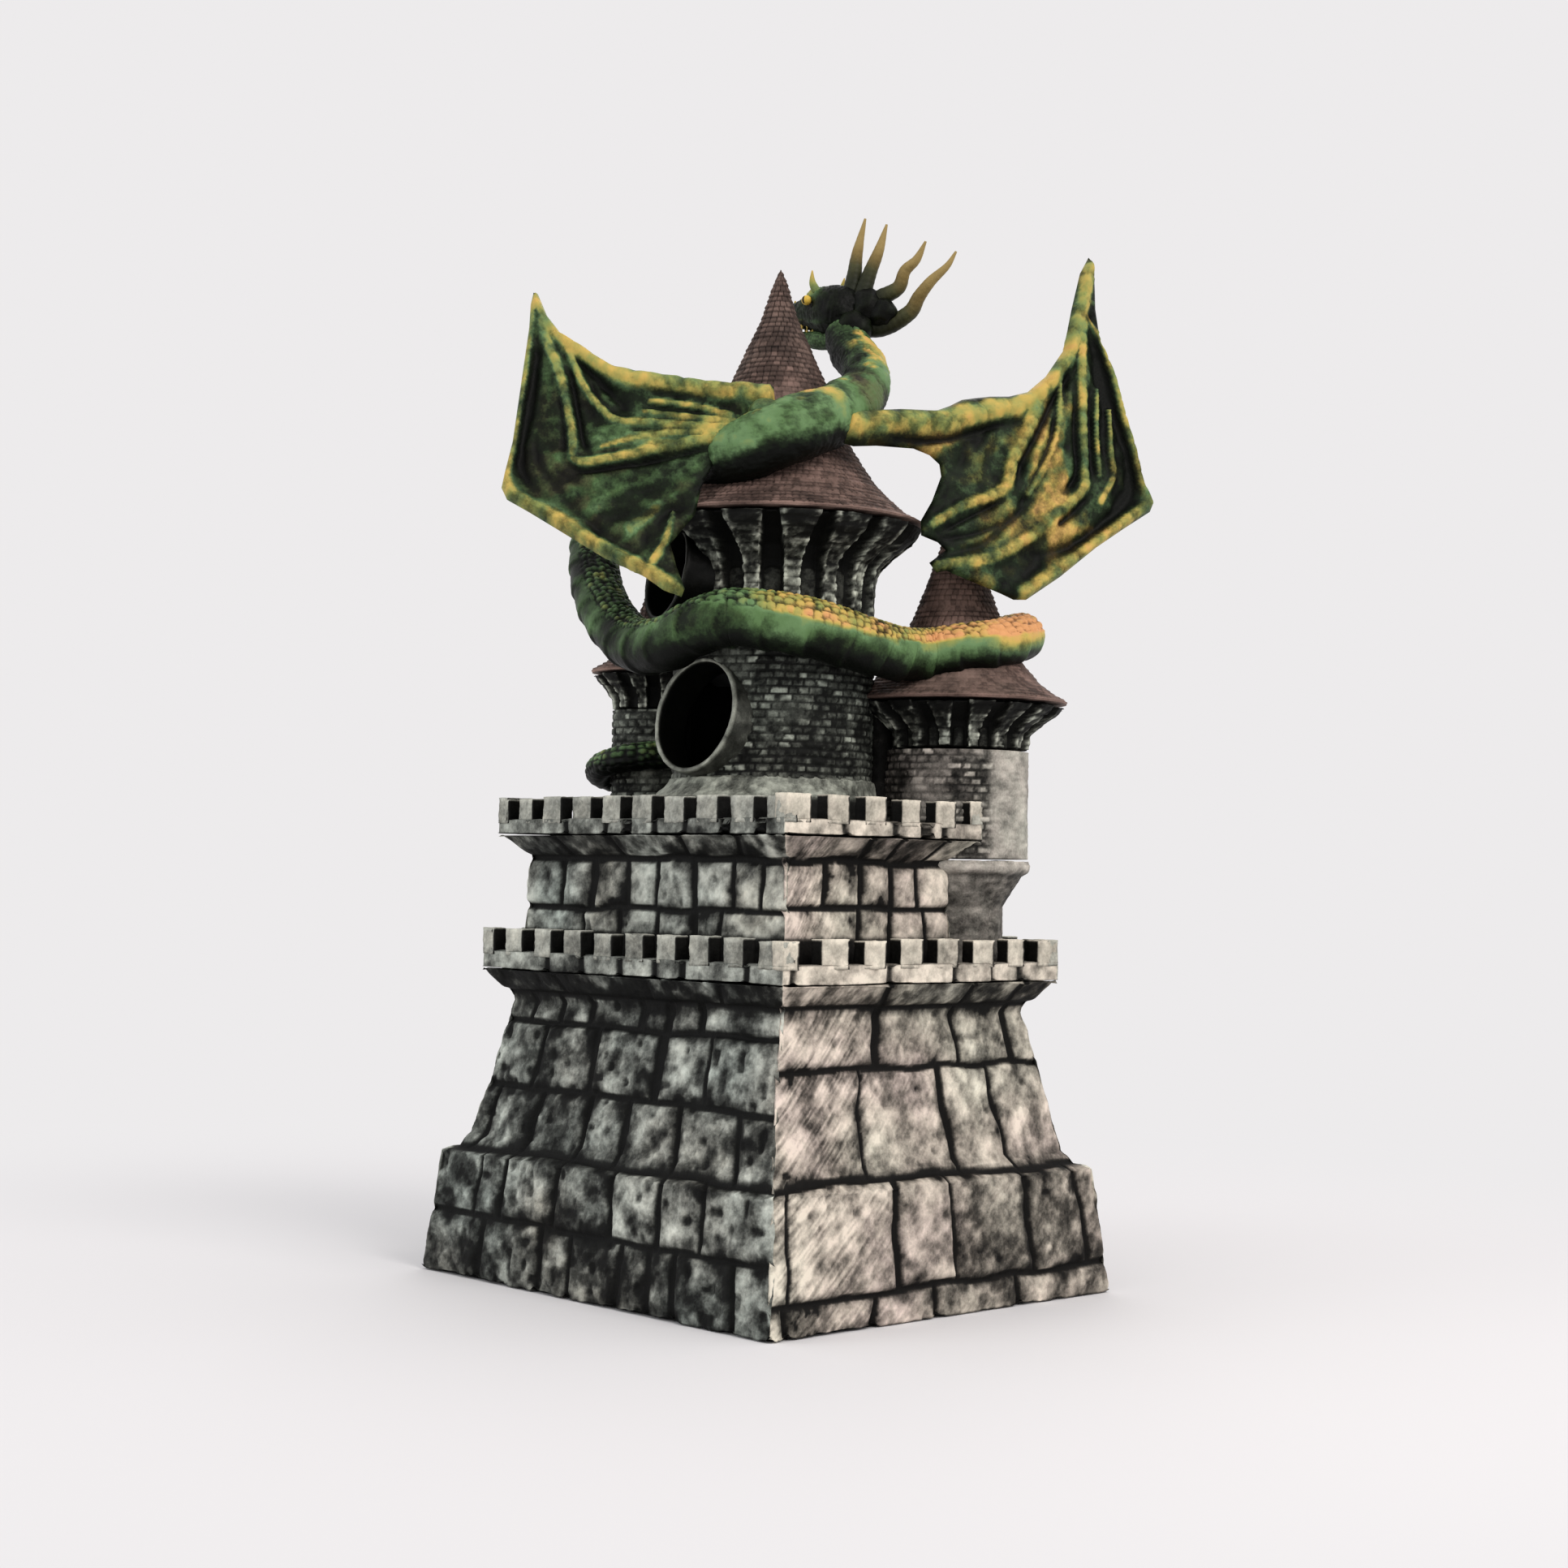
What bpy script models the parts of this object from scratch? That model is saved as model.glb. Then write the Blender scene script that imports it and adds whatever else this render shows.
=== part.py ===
"""A castle dice tower with a dragon wrapped round it, modelled as the separate cast pieces it is glued from.

Dice go in at two round ports in the main tower, fall past a deflector, through a chute and a well,
and roll down a ramp to a gate in the far wall. +Z is up, the origin is the middle of the underside,
-Y is the wall below the ports and +Y is the wall with the gate.
Every dimension below is in millimetres and is scaled to metres as the meshes are made.
"""

import math

import bmesh
import bpy
from mathutils import Matrix, Vector

MM = 0.001
GAP = 0.3  # left between pieces that touch
TURN_STEPS = 32

# Walls: (height, half length along X, half width along Y) of the outer face.
BASE_LEVELS = [(2.8, 78.2, 68.2), (12.0, 77.3, 67.4), (25.0, 75.7, 65.7), (36.5, 74.3, 64.1),
               (40.0, 68.3, 59.0),
               (56.0, 64.6, 55.0), (66.0, 62.9, 52.9), (81.5, 60.2, 49.0), (90.6, 67.3, 55.6)]
WALL = 5.0
BASE_INSIDE = (55.0, 44.0)  # half sizes of the straight upper part of the hollow
PLATE_HALF, PLATE_TOP = (76.0, 66.0), 2.5
TERRACE_BOTTOM, TERRACE_TOP = 90.9, 93.9
LOWER_BATTLEMENT_HALF, LOWER_BATTLEMENT_TOP = (67.3, 55.6), 103.7
LOWER_SILL = 96.2  # bottom of the gaps between merlons
BATTLEMENT_WALL = 4.6
KEEP_CENTRE = (-1.0, -13.1)
KEEP_LEVELS = [(94.2, 58.9, 33.5), (124.7, 57.8, 32.4), (131.2, 64.6, 39.1)]
KEEP_TOP_HALF, KEEP_TOP = (64.6, 39.1), 143.0
DECK_BOTTOM, DECK_TOP = 131.5, 134.5
UPPER_SILL = 135.3
# Gaps between merlons: (middle, width) along X for the -Y and +Y sides, then along Y for the other two.
LOWER_GAPS = [[(-2.2 + 14.07 * i, 5.7) for i in range(-4, 5)],
              [(-45.3, 8.4), (-27.8, 5.7), (-13.6, 5.7), (1.1, 5.7), (15.8, 5.7), (30.6, 5.7), (43.6, 5.7)]]
UPPER_GAPS = [[(x, 5.0) for x in (-57.5, -45.6, -31.7, -17.5, -3.9, 10.3, 24.2, 38.4, 53.3)],
              [(y, 6.0) for y in (-39.3, -24.8, -10.4, 3.3, 17.6)]]

# Main tower.
MAIN = (12.0, -10.0)
DRUM_R, BORE_R = 29.6, 24.0
DRUM_TOP, GALLERY_TOP = 195.7, 222.8
SKIRT_R = 32.0
MAIN_RIBS, MAIN_RIBS_FROM = 16, 11.6  # the second is the angle of one rib, in degrees
MAIN_POST_R, MAIN_BAY_R = 29.8, 26.0
PORT_TILT = 11.0
# A port: distance of its mouth from the tower's axis, height of its mouth, turn from -Y towards -X,
# outer radius and bore radius.
LOWER_PORT = (30.6, 166.0, 0.0, 17.3, 15.7)
UPPER_PORT = (35.2, 207.0, 16.9, 14.3, 12.8)
MAIN_ROOF = [(0.0, 300.0), (0.9, 299.0), (5.9, 284.0), (13.8, 266.4), (18.6, 255.0), (22.4, 245.8),
             (25.8, 240.5),
             (29.4, 235.4), (33.9, 230.6), (39.6, 225.8), (43.8, 224.1), (43.4, 223.1)]

# Right tower, on the terrace behind the keep's corner.
RIGHT = (43.5, 34.9)
RIGHT_STEM = [(0.0, 126.0), (22.4, 126.0), (22.8, 124.2), (22.4, 122.4), (20.5, 121.2), (15.2, 112.0),
              (15.2, 94.2),
              (0.0, 94.2)]
RIGHT_R, RIGHT_DRUM = 22.0, (126.3, 158.2)
RIGHT_RIBS, RIGHT_RIBS_FROM = 16, 12.2
RIGHT_GALLERY_TOP = 171.6
RIGHT_ROOF = [(0.0, 232.0), (0.8, 231.0), (5.0, 219.5), (8.6, 210.0), (12.0, 200.6), (16.0, 190.9),
              (20.5, 183.5),
              (25.0, 178.4), (30.2, 174.6), (33.4, 172.9), (33.0, 171.9), (0.0, 171.9)]

# Left turret, on the keep's deck.
LEFT = (-43.0, -8.0)
LEFT_R, LEFT_DRUM = 14.2, (134.8, 170.6)
LEFT_RIBS = 12
LEFT_GALLERY_TOP = 181.6
LEFT_ROOF = [(0.0, 221.0), (0.7, 220.0), (4.0, 208.0), (7.6, 198.0), (11.5, 190.5), (16.0, 185.8),
             (21.2, 182.9),
             (20.8, 181.9), (0.0, 181.9)]

# Dice path.
CHUTE_X, CHUTE_Y = (-13.8, 37.8), (-41.2, 12.4)
WELL_X, WELL_Y = (-11.0, 35.0), (-39.0, -12.0)
CHANNEL_X = (-12.0, 36.0)  # between the ramp's cheeks
CHEEK = 2.5
RAMP_HIGH, RAMP_LOW = (-42.5, 58.0), (65.0, 5.2)  # (y, z) of the ramp's top surface at each end
RAMP_WIDTH = 45.0
GATE_HALF, GATE_SPRING, GATE_CROWN, GATE_FRAME = 23.2, 24.0, 36.0, 3.4
GATE_Y = (57.0, 68.4)

# Dragon: (x, y, z, radius) along the middle of each length.
TAIL = [(-3, -24, 237, 5.0), (-20, -12, 242, 6.0), (-40, -10, 243, 6.6), (-53, -16, 237, 7.0),
        (-53, -25, 227, 7.3),
        (-43, -34.5, 213, 7.6), (-28, -42, 198.5, 7.8), (-9, -46.5, 187, 7.9), (9, -49.5, 185.5, 7.9),
        (21, -48.5, 189.5, 8.0), (31.5, -44.5, 192, 8.3), (41.5, -35.5, 191, 8.5), (47.5, -25.5, 189, 8.5),
        (50.8, -12, 186, 8.2), (50.5, 3, 184.5, 7.9), (51.5, 14, 185, 7.6), (58, 22, 187, 7.3),
        (62.5, 31.5, 188.8, 7.1), (61, 42.5, 191.6, 7.0), (53, 52, 193, 6.8), (41, 54.5, 193, 6.5),
        (27, 49.5, 189, 6.0), (14, 41, 180, 5.6),
        (1, 33, 169, 5.1), (-13, 25, 161, 4.8), (-25, 12.5, 157.5, 4.6), (-26.5, -1, 157.5, 4.5),
        (-27.5, -16, 156.5, 4.4), (-36, -26.5, 155, 4.2), (-48, -26, 153, 4.0), (-58.5, -18, 150.5, 3.6),
        (-61, -6, 148, 3.0),
        (-55, 6.5, 145, 2.2), (-45, 12, 142, 1.2)]
TAIL_CUTS = [0.0, 0.21, 0.36, 0.56, 0.78, 1.0]  # shares of the tail's length where one casting ends
TAIL_NAMES = ["tail_root", "tail_sling", "tail_front_band", "tail_rear_band", "tail_tip"]
BODY = [(-3, -25, 236.5, 5.0), (13.5, -36, 237, 7.4), (25, -38.5, 239, 9.0), (34, -34.5, 243, 9.8),
        (38.5, -26, 247.5, 9.9),
        (38.5, -14.5, 252, 9.4), (36, -2.5, 258, 8.6), (31.5, 7, 264.5, 7.6), (23.5, 13.5, 272.5, 7.4),
        (15, 17, 279, 7.3), (9.5, 19.5, 285, 7.0)]
NECK_STARTS = 0.6  # share of the body's length
SKULL = [(13, 21.5, 292, 5.5), (9, 20.5, 292.5, 8.0), (2, 20, 293.5, 8.0), (-5, 20, 294.5, 6.0),
         (-13, 20.5, 295, 4.6),
         (-19.5, 21, 294.5, 3.2)]
JAW = [(6, 18.5, 283.8, 2.8), (-1, 18.5, 285.0, 2.8), (-8, 19.5, 286.6, 2.3), (-15, 20.5, 288.0, 1.6)]
EYES = {"eye_left": (-0.5, 12.6, 296.4), "eye_right": (-0.5, 27.4, 296.6)}
EYE_R = 1.7
HORNS = {
    "horn_1": [(9, 21.5, 296, 2.8), (9.8, 22.6, 304, 2.3), (10.6, 23, 311, 1.7), (13.4, 23.4, 321.8, 0.45)],
    "horn_2": [(12.5, 22.5, 295, 2.8), (14.5, 24.4, 304, 2.2), (17.0, 25.8, 311, 1.6),
               (19.3, 26.8, 319.2, 0.45)],
    "horn_3": [(13, 22, 292, 2.8), (18, 25.4, 296.2, 2.6), (23.5, 27.9, 299, 2.2), (26, 28.2, 303.8, 1.8),
               (29.8, 29.3, 307, 1.3), (33, 29.8, 312, 0.45)],
    "horn_4": [(12, 22.5, 288, 2.8), (19, 26.2, 287.4, 2.8), (27, 29.2, 291, 2.4), (31, 29.4, 295.5, 2.0),
               (35.5, 29.8, 299.5, 1.6), (40.3, 31.6, 303.6, 1.0), (42.8, 32.8, 307.8, 0.45)],
}

# Wings: flat blanks. An outline point is (distance out from the shoulder, height up the leaning blank).
WING_THICK = 4.0
LEFT_WING_ROOT, LEFT_WING_TURN, LEFT_WING_LEAN = (32.5, -29.6, 255.2), 225.6, 17.0
LEFT_WING = [(9, 3), (14, 5), (24.5, 6), (40.5, 9.5), (47.5, 10), (56.5, 17), (62.5, 21), (67, 27), (70.5, 34),
             (72, 34.5), (72.5, 22.5), (73.5, 7), (75, -14), (77, -25.5), (77.5, -29), (75, -33),
             (68.5, -36.5), (60.5, -41.5),
             (47, -50), (35.5, -55.5), (30, -59.5), (24.5, -61.5), (23.5, -58.5), (26.5, -52), (28.5, -45),
             (22, -36),
             (20.5, -27.5), (16, -17), (10, -10)]
RIGHT_WING_ROOT, RIGHT_WING_TURN, RIGHT_WING_LEAN = (42.7, -12.9, 247.9), 66.0, 5.0
RIGHT_WING = [(4.5, 6), (18, 8), (29, 8), (37, 12), (46, 14), (58.5, 15.5), (64, 21.5), (70, 30), (73, 43),
              (76, 54),
              (79.5, 59.5), (81, 57), (81, 43.5), (82, 34.5), (87, 23.5), (90, 11.5), (93.5, 1), (95, -9),
              (99, -15), (97.5, -18.5),
              (88, -24), (79, -30), (67, -39.5), (56, -47), (48, -45), (31, -39.5), (27.5, -40.5), (25, -37),
              (31, -33),
              (28.5, -31), (23, -29.5), (23, -25), (27, -19), (30, -11.5), (29.5, -8), (26.5, -5.5),
              (21.5, -3.5),
              (10, -3.5), (4, -4.5)]

PATH_STEP = 4.0  # between rings of a dragon length
STONE_GREY = (0.30, 0.31, 0.30)
TOWER_GREY = (0.26, 0.28, 0.27)
ROOF_BROWN = (0.27, 0.15, 0.11)
INNER_GREY = (0.10, 0.10, 0.11)
DRAGON_GREEN = (0.07, 0.22, 0.09)
WING_OCHRE = (0.30, 0.28, 0.07)
HORN_OCHRE = (0.30, 0.19, 0.07)


def clear_scene():
    for obj in list(bpy.data.objects):
        bpy.data.objects.remove(obj)


def new_collection(name, hidden=False):
    collection = bpy.data.collections.new(name)
    collection.hide_render = hidden
    bpy.context.scene.collection.children.link(collection)
    return collection


clear_scene()
PARTS = new_collection("castle_dice_tower")
CUTTERS = new_collection("cutters", hidden=True)


def painted(name, colour, roughness=0.7):
    """The piece's own painted resin."""
    material = bpy.data.materials.new(name)
    material.use_nodes = True
    shader = material.node_tree.nodes["Principled BSDF"]
    shader.inputs["Base Color"].default_value = (*colour, 1.0)
    shader.inputs["Roughness"].default_value = roughness
    shader.inputs["Metallic"].default_value = 0.0
    return material


def add_object(name, mesh, colour=None):
    """A piece when it has a colour, and otherwise a cutter, which is neither rendered nor built."""
    obj = bpy.data.objects.new(name, mesh)
    if colour is None:
        obj.hide_render = True
        obj.display_type = "WIRE"
        CUTTERS.objects.link(obj)
    else:
        obj.data.materials.append(painted(name, colour))
        PARTS.objects.link(obj)
    return obj


def cut(obj, *cutters):
    for cutter in cutters:
        modifier = obj.modifiers.new("Cut " + cutter.name, "BOOLEAN")
        modifier.operation = "DIFFERENCE"
        modifier.object = cutter
        modifier.solver = "EXACT"
    return obj


def mesh_of_rows(name, rows, ring_ends):
    """A mesh of closed rows of points, each joined to the next. ring_ends joins the last row to the first."""
    count = len(rows[0])
    points = [Vector(p) * MM for row in rows for p in row]
    pairs = len(rows) if ring_ends else len(rows) - 1
    faces = []
    for i in range(pairs):
        low, high = i * count, (i + 1) % len(rows) * count
        for j in range(count):
            k = (j + 1) % count
            faces.append((low + j, low + k, high + k, high + j))
    if not ring_ends:
        faces.append(tuple(reversed(range(count))))
        faces.append(tuple(range(len(points) - count, len(points))))
    mesh = bpy.data.meshes.new(name)
    mesh.from_pydata(points, [], faces)
    bm = bmesh.new()
    bm.from_mesh(mesh)
    bmesh.ops.recalc_face_normals(bm, faces=bm.faces)
    bm.to_mesh(mesh)
    bm.free()
    return mesh


def rectangle(half_x, half_y, z, centre=(0.0, 0.0)):
    x, y = centre
    turns = ((-1, -1), (1, -1), (1, 1), (-1, 1))
    return [(x + half_x * along, y + half_y * across, z) for along, across in turns]


def walls(name, levels, inside, colour, centre=(0.0, 0.0)):
    """Four walls lofted through levels, hollow from top to bottom; inside lists the hollow's (height, half, half)."""
    rows = [rectangle(hx, hy, z, centre) for z, hx, hy in levels]
    rows += [rectangle(hx, hy, z, centre) for z, hx, hy in reversed(inside)]
    return add_object(name, mesh_of_rows(name, rows, ring_ends=True), colour)


def boxes(name, corners, colour=None):
    """One mesh of separate boxes, each given by its lowest and highest corner."""
    bm = bmesh.new()
    for low, high in corners:
        low, high = Vector(low) * MM, Vector(high) * MM
        place = Matrix.Translation((low + high) / 2) @ Matrix.Diagonal((*(high - low), 1.0))
        bmesh.ops.create_cube(bm, size=1.0, matrix=place)
    mesh = bpy.data.meshes.new(name)
    bm.to_mesh(mesh)
    bm.free()
    return add_object(name, mesh, colour)


def cylinder_cutter(name, radius, start, end, sides=40):
    """A round bar from start to end."""
    start, end = Vector(start) * MM, Vector(end) * MM
    along = end - start
    place = Matrix.Translation((start + end) / 2) @ along.to_track_quat("Z", "Y").to_matrix().to_4x4()
    bm = bmesh.new()
    bmesh.ops.create_cone(bm, cap_ends=True, segments=sides, radius1=radius * MM, radius2=radius * MM,
                          depth=along.length, matrix=place)
    mesh = bpy.data.meshes.new(name)
    bm.to_mesh(mesh)
    bm.free()
    return add_object(name, mesh)


def turned(name, profile, centre, colour=None, hollow=False):
    """A profile of (radius, height) turned about a vertical axis, down the outer side and, if hollow, up the inner."""
    points = [(r * MM, 0.0, z * MM) for r, z in profile]
    edges = [(i, i + 1) for i in range(len(points) - 1)]
    if hollow:
        edges.append((len(points) - 1, 0))
    mesh = bpy.data.meshes.new(name)
    mesh.from_pydata(points, edges, [])
    obj = add_object(name, mesh, colour)
    obj.location = Vector((*centre, 0.0)) * MM
    turn = obj.modifiers.new("Turn", "SCREW")
    turn.axis = "Z"
    turn.angle = 2 * math.pi
    turn.steps = turn.render_steps = TURN_STEPS
    turn.use_merge_vertices = True
    turn.merge_threshold = 0.00001
    turn.use_smooth_shade = True
    return obj


def grown(profile, by=GAP):
    """A solid profile made larger all round, for a cutter that leaves the gap."""
    top, bottom = profile[0][1], profile[-1][1]
    widened = [(r + by, z) for r, z in profile if r > 0]
    return [(0.0, top + by), (widened[0][0], top + by), *widened, (widened[-1][0], bottom - by),
            (0.0, bottom - by)]


def solid_profile(radius, low, high):
    return [(0.0, high), (radius, high), (radius, low), (0.0, low)]


def gallery(name, centre, ribs, start, bore, levels, colour):
    """A ribbed ring under an eave, with one rib at the start angle.
    A level is (height, radius of the ribs, radius of the bays between, half width of a rib as a share of the pitch)."""
    def row(z, half, rib_r, bay_r):
        points = []
        for i in range(ribs):
            for share, radius in ((-half, rib_r), (half, rib_r), (half + 0.05, bay_r), (0.95 - half, bay_r)):
                angle = math.radians(start) + 2 * math.pi * (i + share) / ribs
                points.append((centre[0] + radius * math.cos(angle), centre[1] + radius * math.sin(angle), z))
        return points
    rows = [row(z, half, rib_r, bay_r) for z, rib_r, bay_r, half in levels]
    rows += [row(z, half, bore, bore) for z, _, _, half in (levels[-1], levels[0])]
    return add_object(name, mesh_of_rows(name, rows, ring_ends=True), colour)


def smooth_path(points, step=PATH_STEP):
    """Points of (x, y, z, radius) on a Catmull-Rom curve through the given ones, about step apart."""
    knots = [Vector(p) for p in points]
    knots = [2 * knots[0] - knots[1], *knots, 2 * knots[-1] - knots[-2]]
    dense = []
    for p0, p1, p2, p3 in zip(knots, knots[1:], knots[2:], knots[3:]):
        for i in range(20):
            t = i / 20
            dense.append(0.5 * (2 * p1 + (p2 - p0) * t + (2 * p0 - 5 * p1 + 4 * p2 - p3) * t * t
                                + (3 * p1 - p0 - 3 * p2 + p3) * t ** 3))
    dense.append(knots[-2])
    lengths = [0.0]
    for a, b in zip(dense, dense[1:]):
        lengths.append(lengths[-1] + (b - a).xyz.length)
    count = max(2, round(lengths[-1] / step))
    return [point_at(dense, lengths, lengths[-1] * i / count) for i in range(count + 1)]


def point_at(points, lengths, distance):
    for i in range(1, len(points)):
        if lengths[i] >= distance:
            share = (distance - lengths[i - 1]) / (lengths[i] - lengths[i - 1])
            return points[i - 1].lerp(points[i], share)
    return points[-1]


def stretch(path, start, end):
    """The part of a path between two shares of its length, drawn in by half the gap at each inner end."""
    lengths = [0.0]
    for a, b in zip(path, path[1:]):
        lengths.append(lengths[-1] + (b - a).xyz.length)
    total = lengths[-1]
    low = total * start + (GAP / 2 if start > 0 else 0.0)
    high = total * end - (GAP / 2 if end < 1 else 0.0)
    inner = [p for p, s in zip(path, lengths) if low + PATH_STEP / 4 < s < high - PATH_STEP / 4]
    return [point_at(path, lengths, low), *inner, point_at(path, lengths, high)]


def lengthened(path, by):
    """The same path with both ends moved outwards."""
    first = path[0].xyz + (path[0] - path[1]).xyz.normalized() * by
    last = path[-1].xyz + (path[-1] - path[-2]).xyz.normalized() * by
    return [Vector((*first, path[0].w)), *path[1:-1], Vector((*last, path[-1].w))]


def tube(name, path, colour=None, extra=0.0):
    """A round length of the path's radii, thickened by extra, as a closed mesh."""
    curve = bpy.data.curves.new(name + "_curve", "CURVE")
    curve.dimensions = "3D"
    curve.bevel_depth = MM
    curve.bevel_resolution = 2
    curve.use_fill_caps = True
    spline = curve.splines.new("POLY")
    spline.points.add(len(path) - 1)
    for point, place in zip(spline.points, path):
        point.co = (*(place.xyz * MM), 1.0)
        point.radius = place.w + extra
    guide = bpy.data.objects.new(name + "_curve", curve)
    bpy.context.scene.collection.objects.link(guide)
    bpy.context.view_layer.update()
    evaluated = guide.evaluated_get(bpy.context.evaluated_depsgraph_get())
    mesh = bpy.data.meshes.new_from_object(evaluated)
    bpy.data.objects.remove(guide)
    bm = bmesh.new()
    bm.from_mesh(mesh)
    bmesh.ops.remove_doubles(bm, verts=bm.verts, dist=0.000002)
    bmesh.ops.recalc_face_normals(bm, faces=bm.faces)
    bm.to_mesh(mesh)
    bm.free()
    mesh.materials.clear()
    mesh.shade_smooth()
    return add_object(name, mesh, colour)


def wing(name, outline, root, turn, lean, colour):
    """A flat blank cut to the wing's outline, standing on its shoulder point, turned about Z and leaning."""
    curve = bpy.data.curves.new(name, "CURVE")
    curve.dimensions = "2D"
    curve.fill_mode = "BOTH"
    curve.extrude = WING_THICK / 2 * MM
    spline = curve.splines.new("POLY")
    spline.points.add(len(outline) - 1)
    for point, (out, up) in zip(spline.points, outline):
        point.co = (out * MM, up * MM, 0.0, 1.0)
    spline.use_cyclic_u = True
    guide = bpy.data.objects.new(name + "_outline", curve)
    bpy.context.scene.collection.objects.link(guide)
    bpy.context.view_layer.update()
    mesh = bpy.data.meshes.new_from_object(guide.evaluated_get(bpy.context.evaluated_depsgraph_get()))
    bpy.data.objects.remove(guide)
    bm = bmesh.new()
    bm.from_mesh(mesh)
    bmesh.ops.remove_doubles(bm, verts=bm.verts, dist=0.000002)
    bmesh.ops.recalc_face_normals(bm, faces=bm.faces)
    bm.to_mesh(mesh)
    bm.free()
    mesh.materials.clear()
    obj = add_object(name, mesh, colour)
    stand = Matrix.Rotation(math.radians(90 - lean), 4, "X")
    obj.matrix_world = Matrix.Translation(Vector(root) * MM) @ Matrix.Rotation(math.radians(turn), 4,
            "Z") @ stand
    return obj


def arch(half, spring, crown, floor, steps=12):
    """An arch outline in X and Z about x = 0: straight jambs, then half an ellipse from the spring to the crown."""
    curve = [(half * math.cos(math.pi * i / steps), spring + (crown - spring) * math.sin(math.pi * i / steps))
             for i in range(steps + 1)]
    return [(half, floor), *curve, (-half, floor)]


def battlement(name, half, bottom, sill, top, gaps, colour, centre=(0.0, 0.0)):
    """A ring wall with square gaps down to the sill."""
    inner = (half[0] - BATTLEMENT_WALL, half[1] - BATTLEMENT_WALL)
    ring = walls(name, [(bottom, *half), (top, *half)], [(bottom, *inner), (top, *inner)], colour, centre)
    reach, rise = 3.0, 2.0
    low_y, high_y = centre[1] - half[1] - reach, centre[1] + half[1] + reach
    low_x, high_x = centre[0] - half[0] - reach, centre[0] + half[0] + reach
    across_x = [((x - w / 2, low_y, sill), (x + w / 2, high_y, top + rise)) for x, w in gaps[0]]
    across_y = [((low_x, y - w / 2, sill), (high_x, y + w / 2, top + rise)) for y, w in gaps[1]]
    return cut(ring, boxes(name + "_slots_x", across_x), boxes(name + "_slots_y", across_y))


def port_axis(port, share):
    """A point on a port's axis: 0 at its mouth, 1 on the tower's axis. The port slopes down towards the tower."""
    reach, height, turn, _, _ = port
    left = reach * (1 - share)
    angle = math.radians(turn)
    drop = reach * share * math.tan(math.radians(PORT_TILT))
    return (MAIN[0] - left * math.sin(angle), MAIN[1] - left * math.cos(angle), height - drop)


def port_bar(name, port, start, end, radius):
    return cylinder_cutter(name, radius, port_axis(port, start), port_axis(port, end))


def port_pipe(name, port, shaft):
    """A round pipe from its mouth to the tower's bore."""
    pipe = port_bar(name, port, 0.0, 0.9, port[3])
    CUTTERS.objects.unlink(pipe)
    PARTS.objects.link(pipe)
    pipe.hide_render = False
    pipe.display_type = "TEXTURED"
    pipe.data.materials.append(painted(name, TOWER_GREY, 0.5))
    return cut(pipe, port_bar(name + "_bore", port, -0.1, 1.1, port[4]), shaft)


def sloping_plate(name, x_span, start, end, thick, colour):
    """A flat plate whose top runs from start to end, both (y, z)."""
    corners = [start, end, (end[0], end[1] - thick), (start[0], start[1] - thick)]
    rows = [[(x, y, z) for y, z in corners] for x in x_span]
    return add_object(name, mesh_of_rows(name, rows, ring_ends=False), colour)


def hollow_from(levels, wall, straight, above):
    """The hollow inside flared walls: their levels drawn in by the wall, but straight above a height."""
    inside = [(z, hx - wall, hy - wall) for z, hx, hy in levels if z < above]
    return [*inside, (above, *straight), (levels[-1][0], *straight)]


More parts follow.
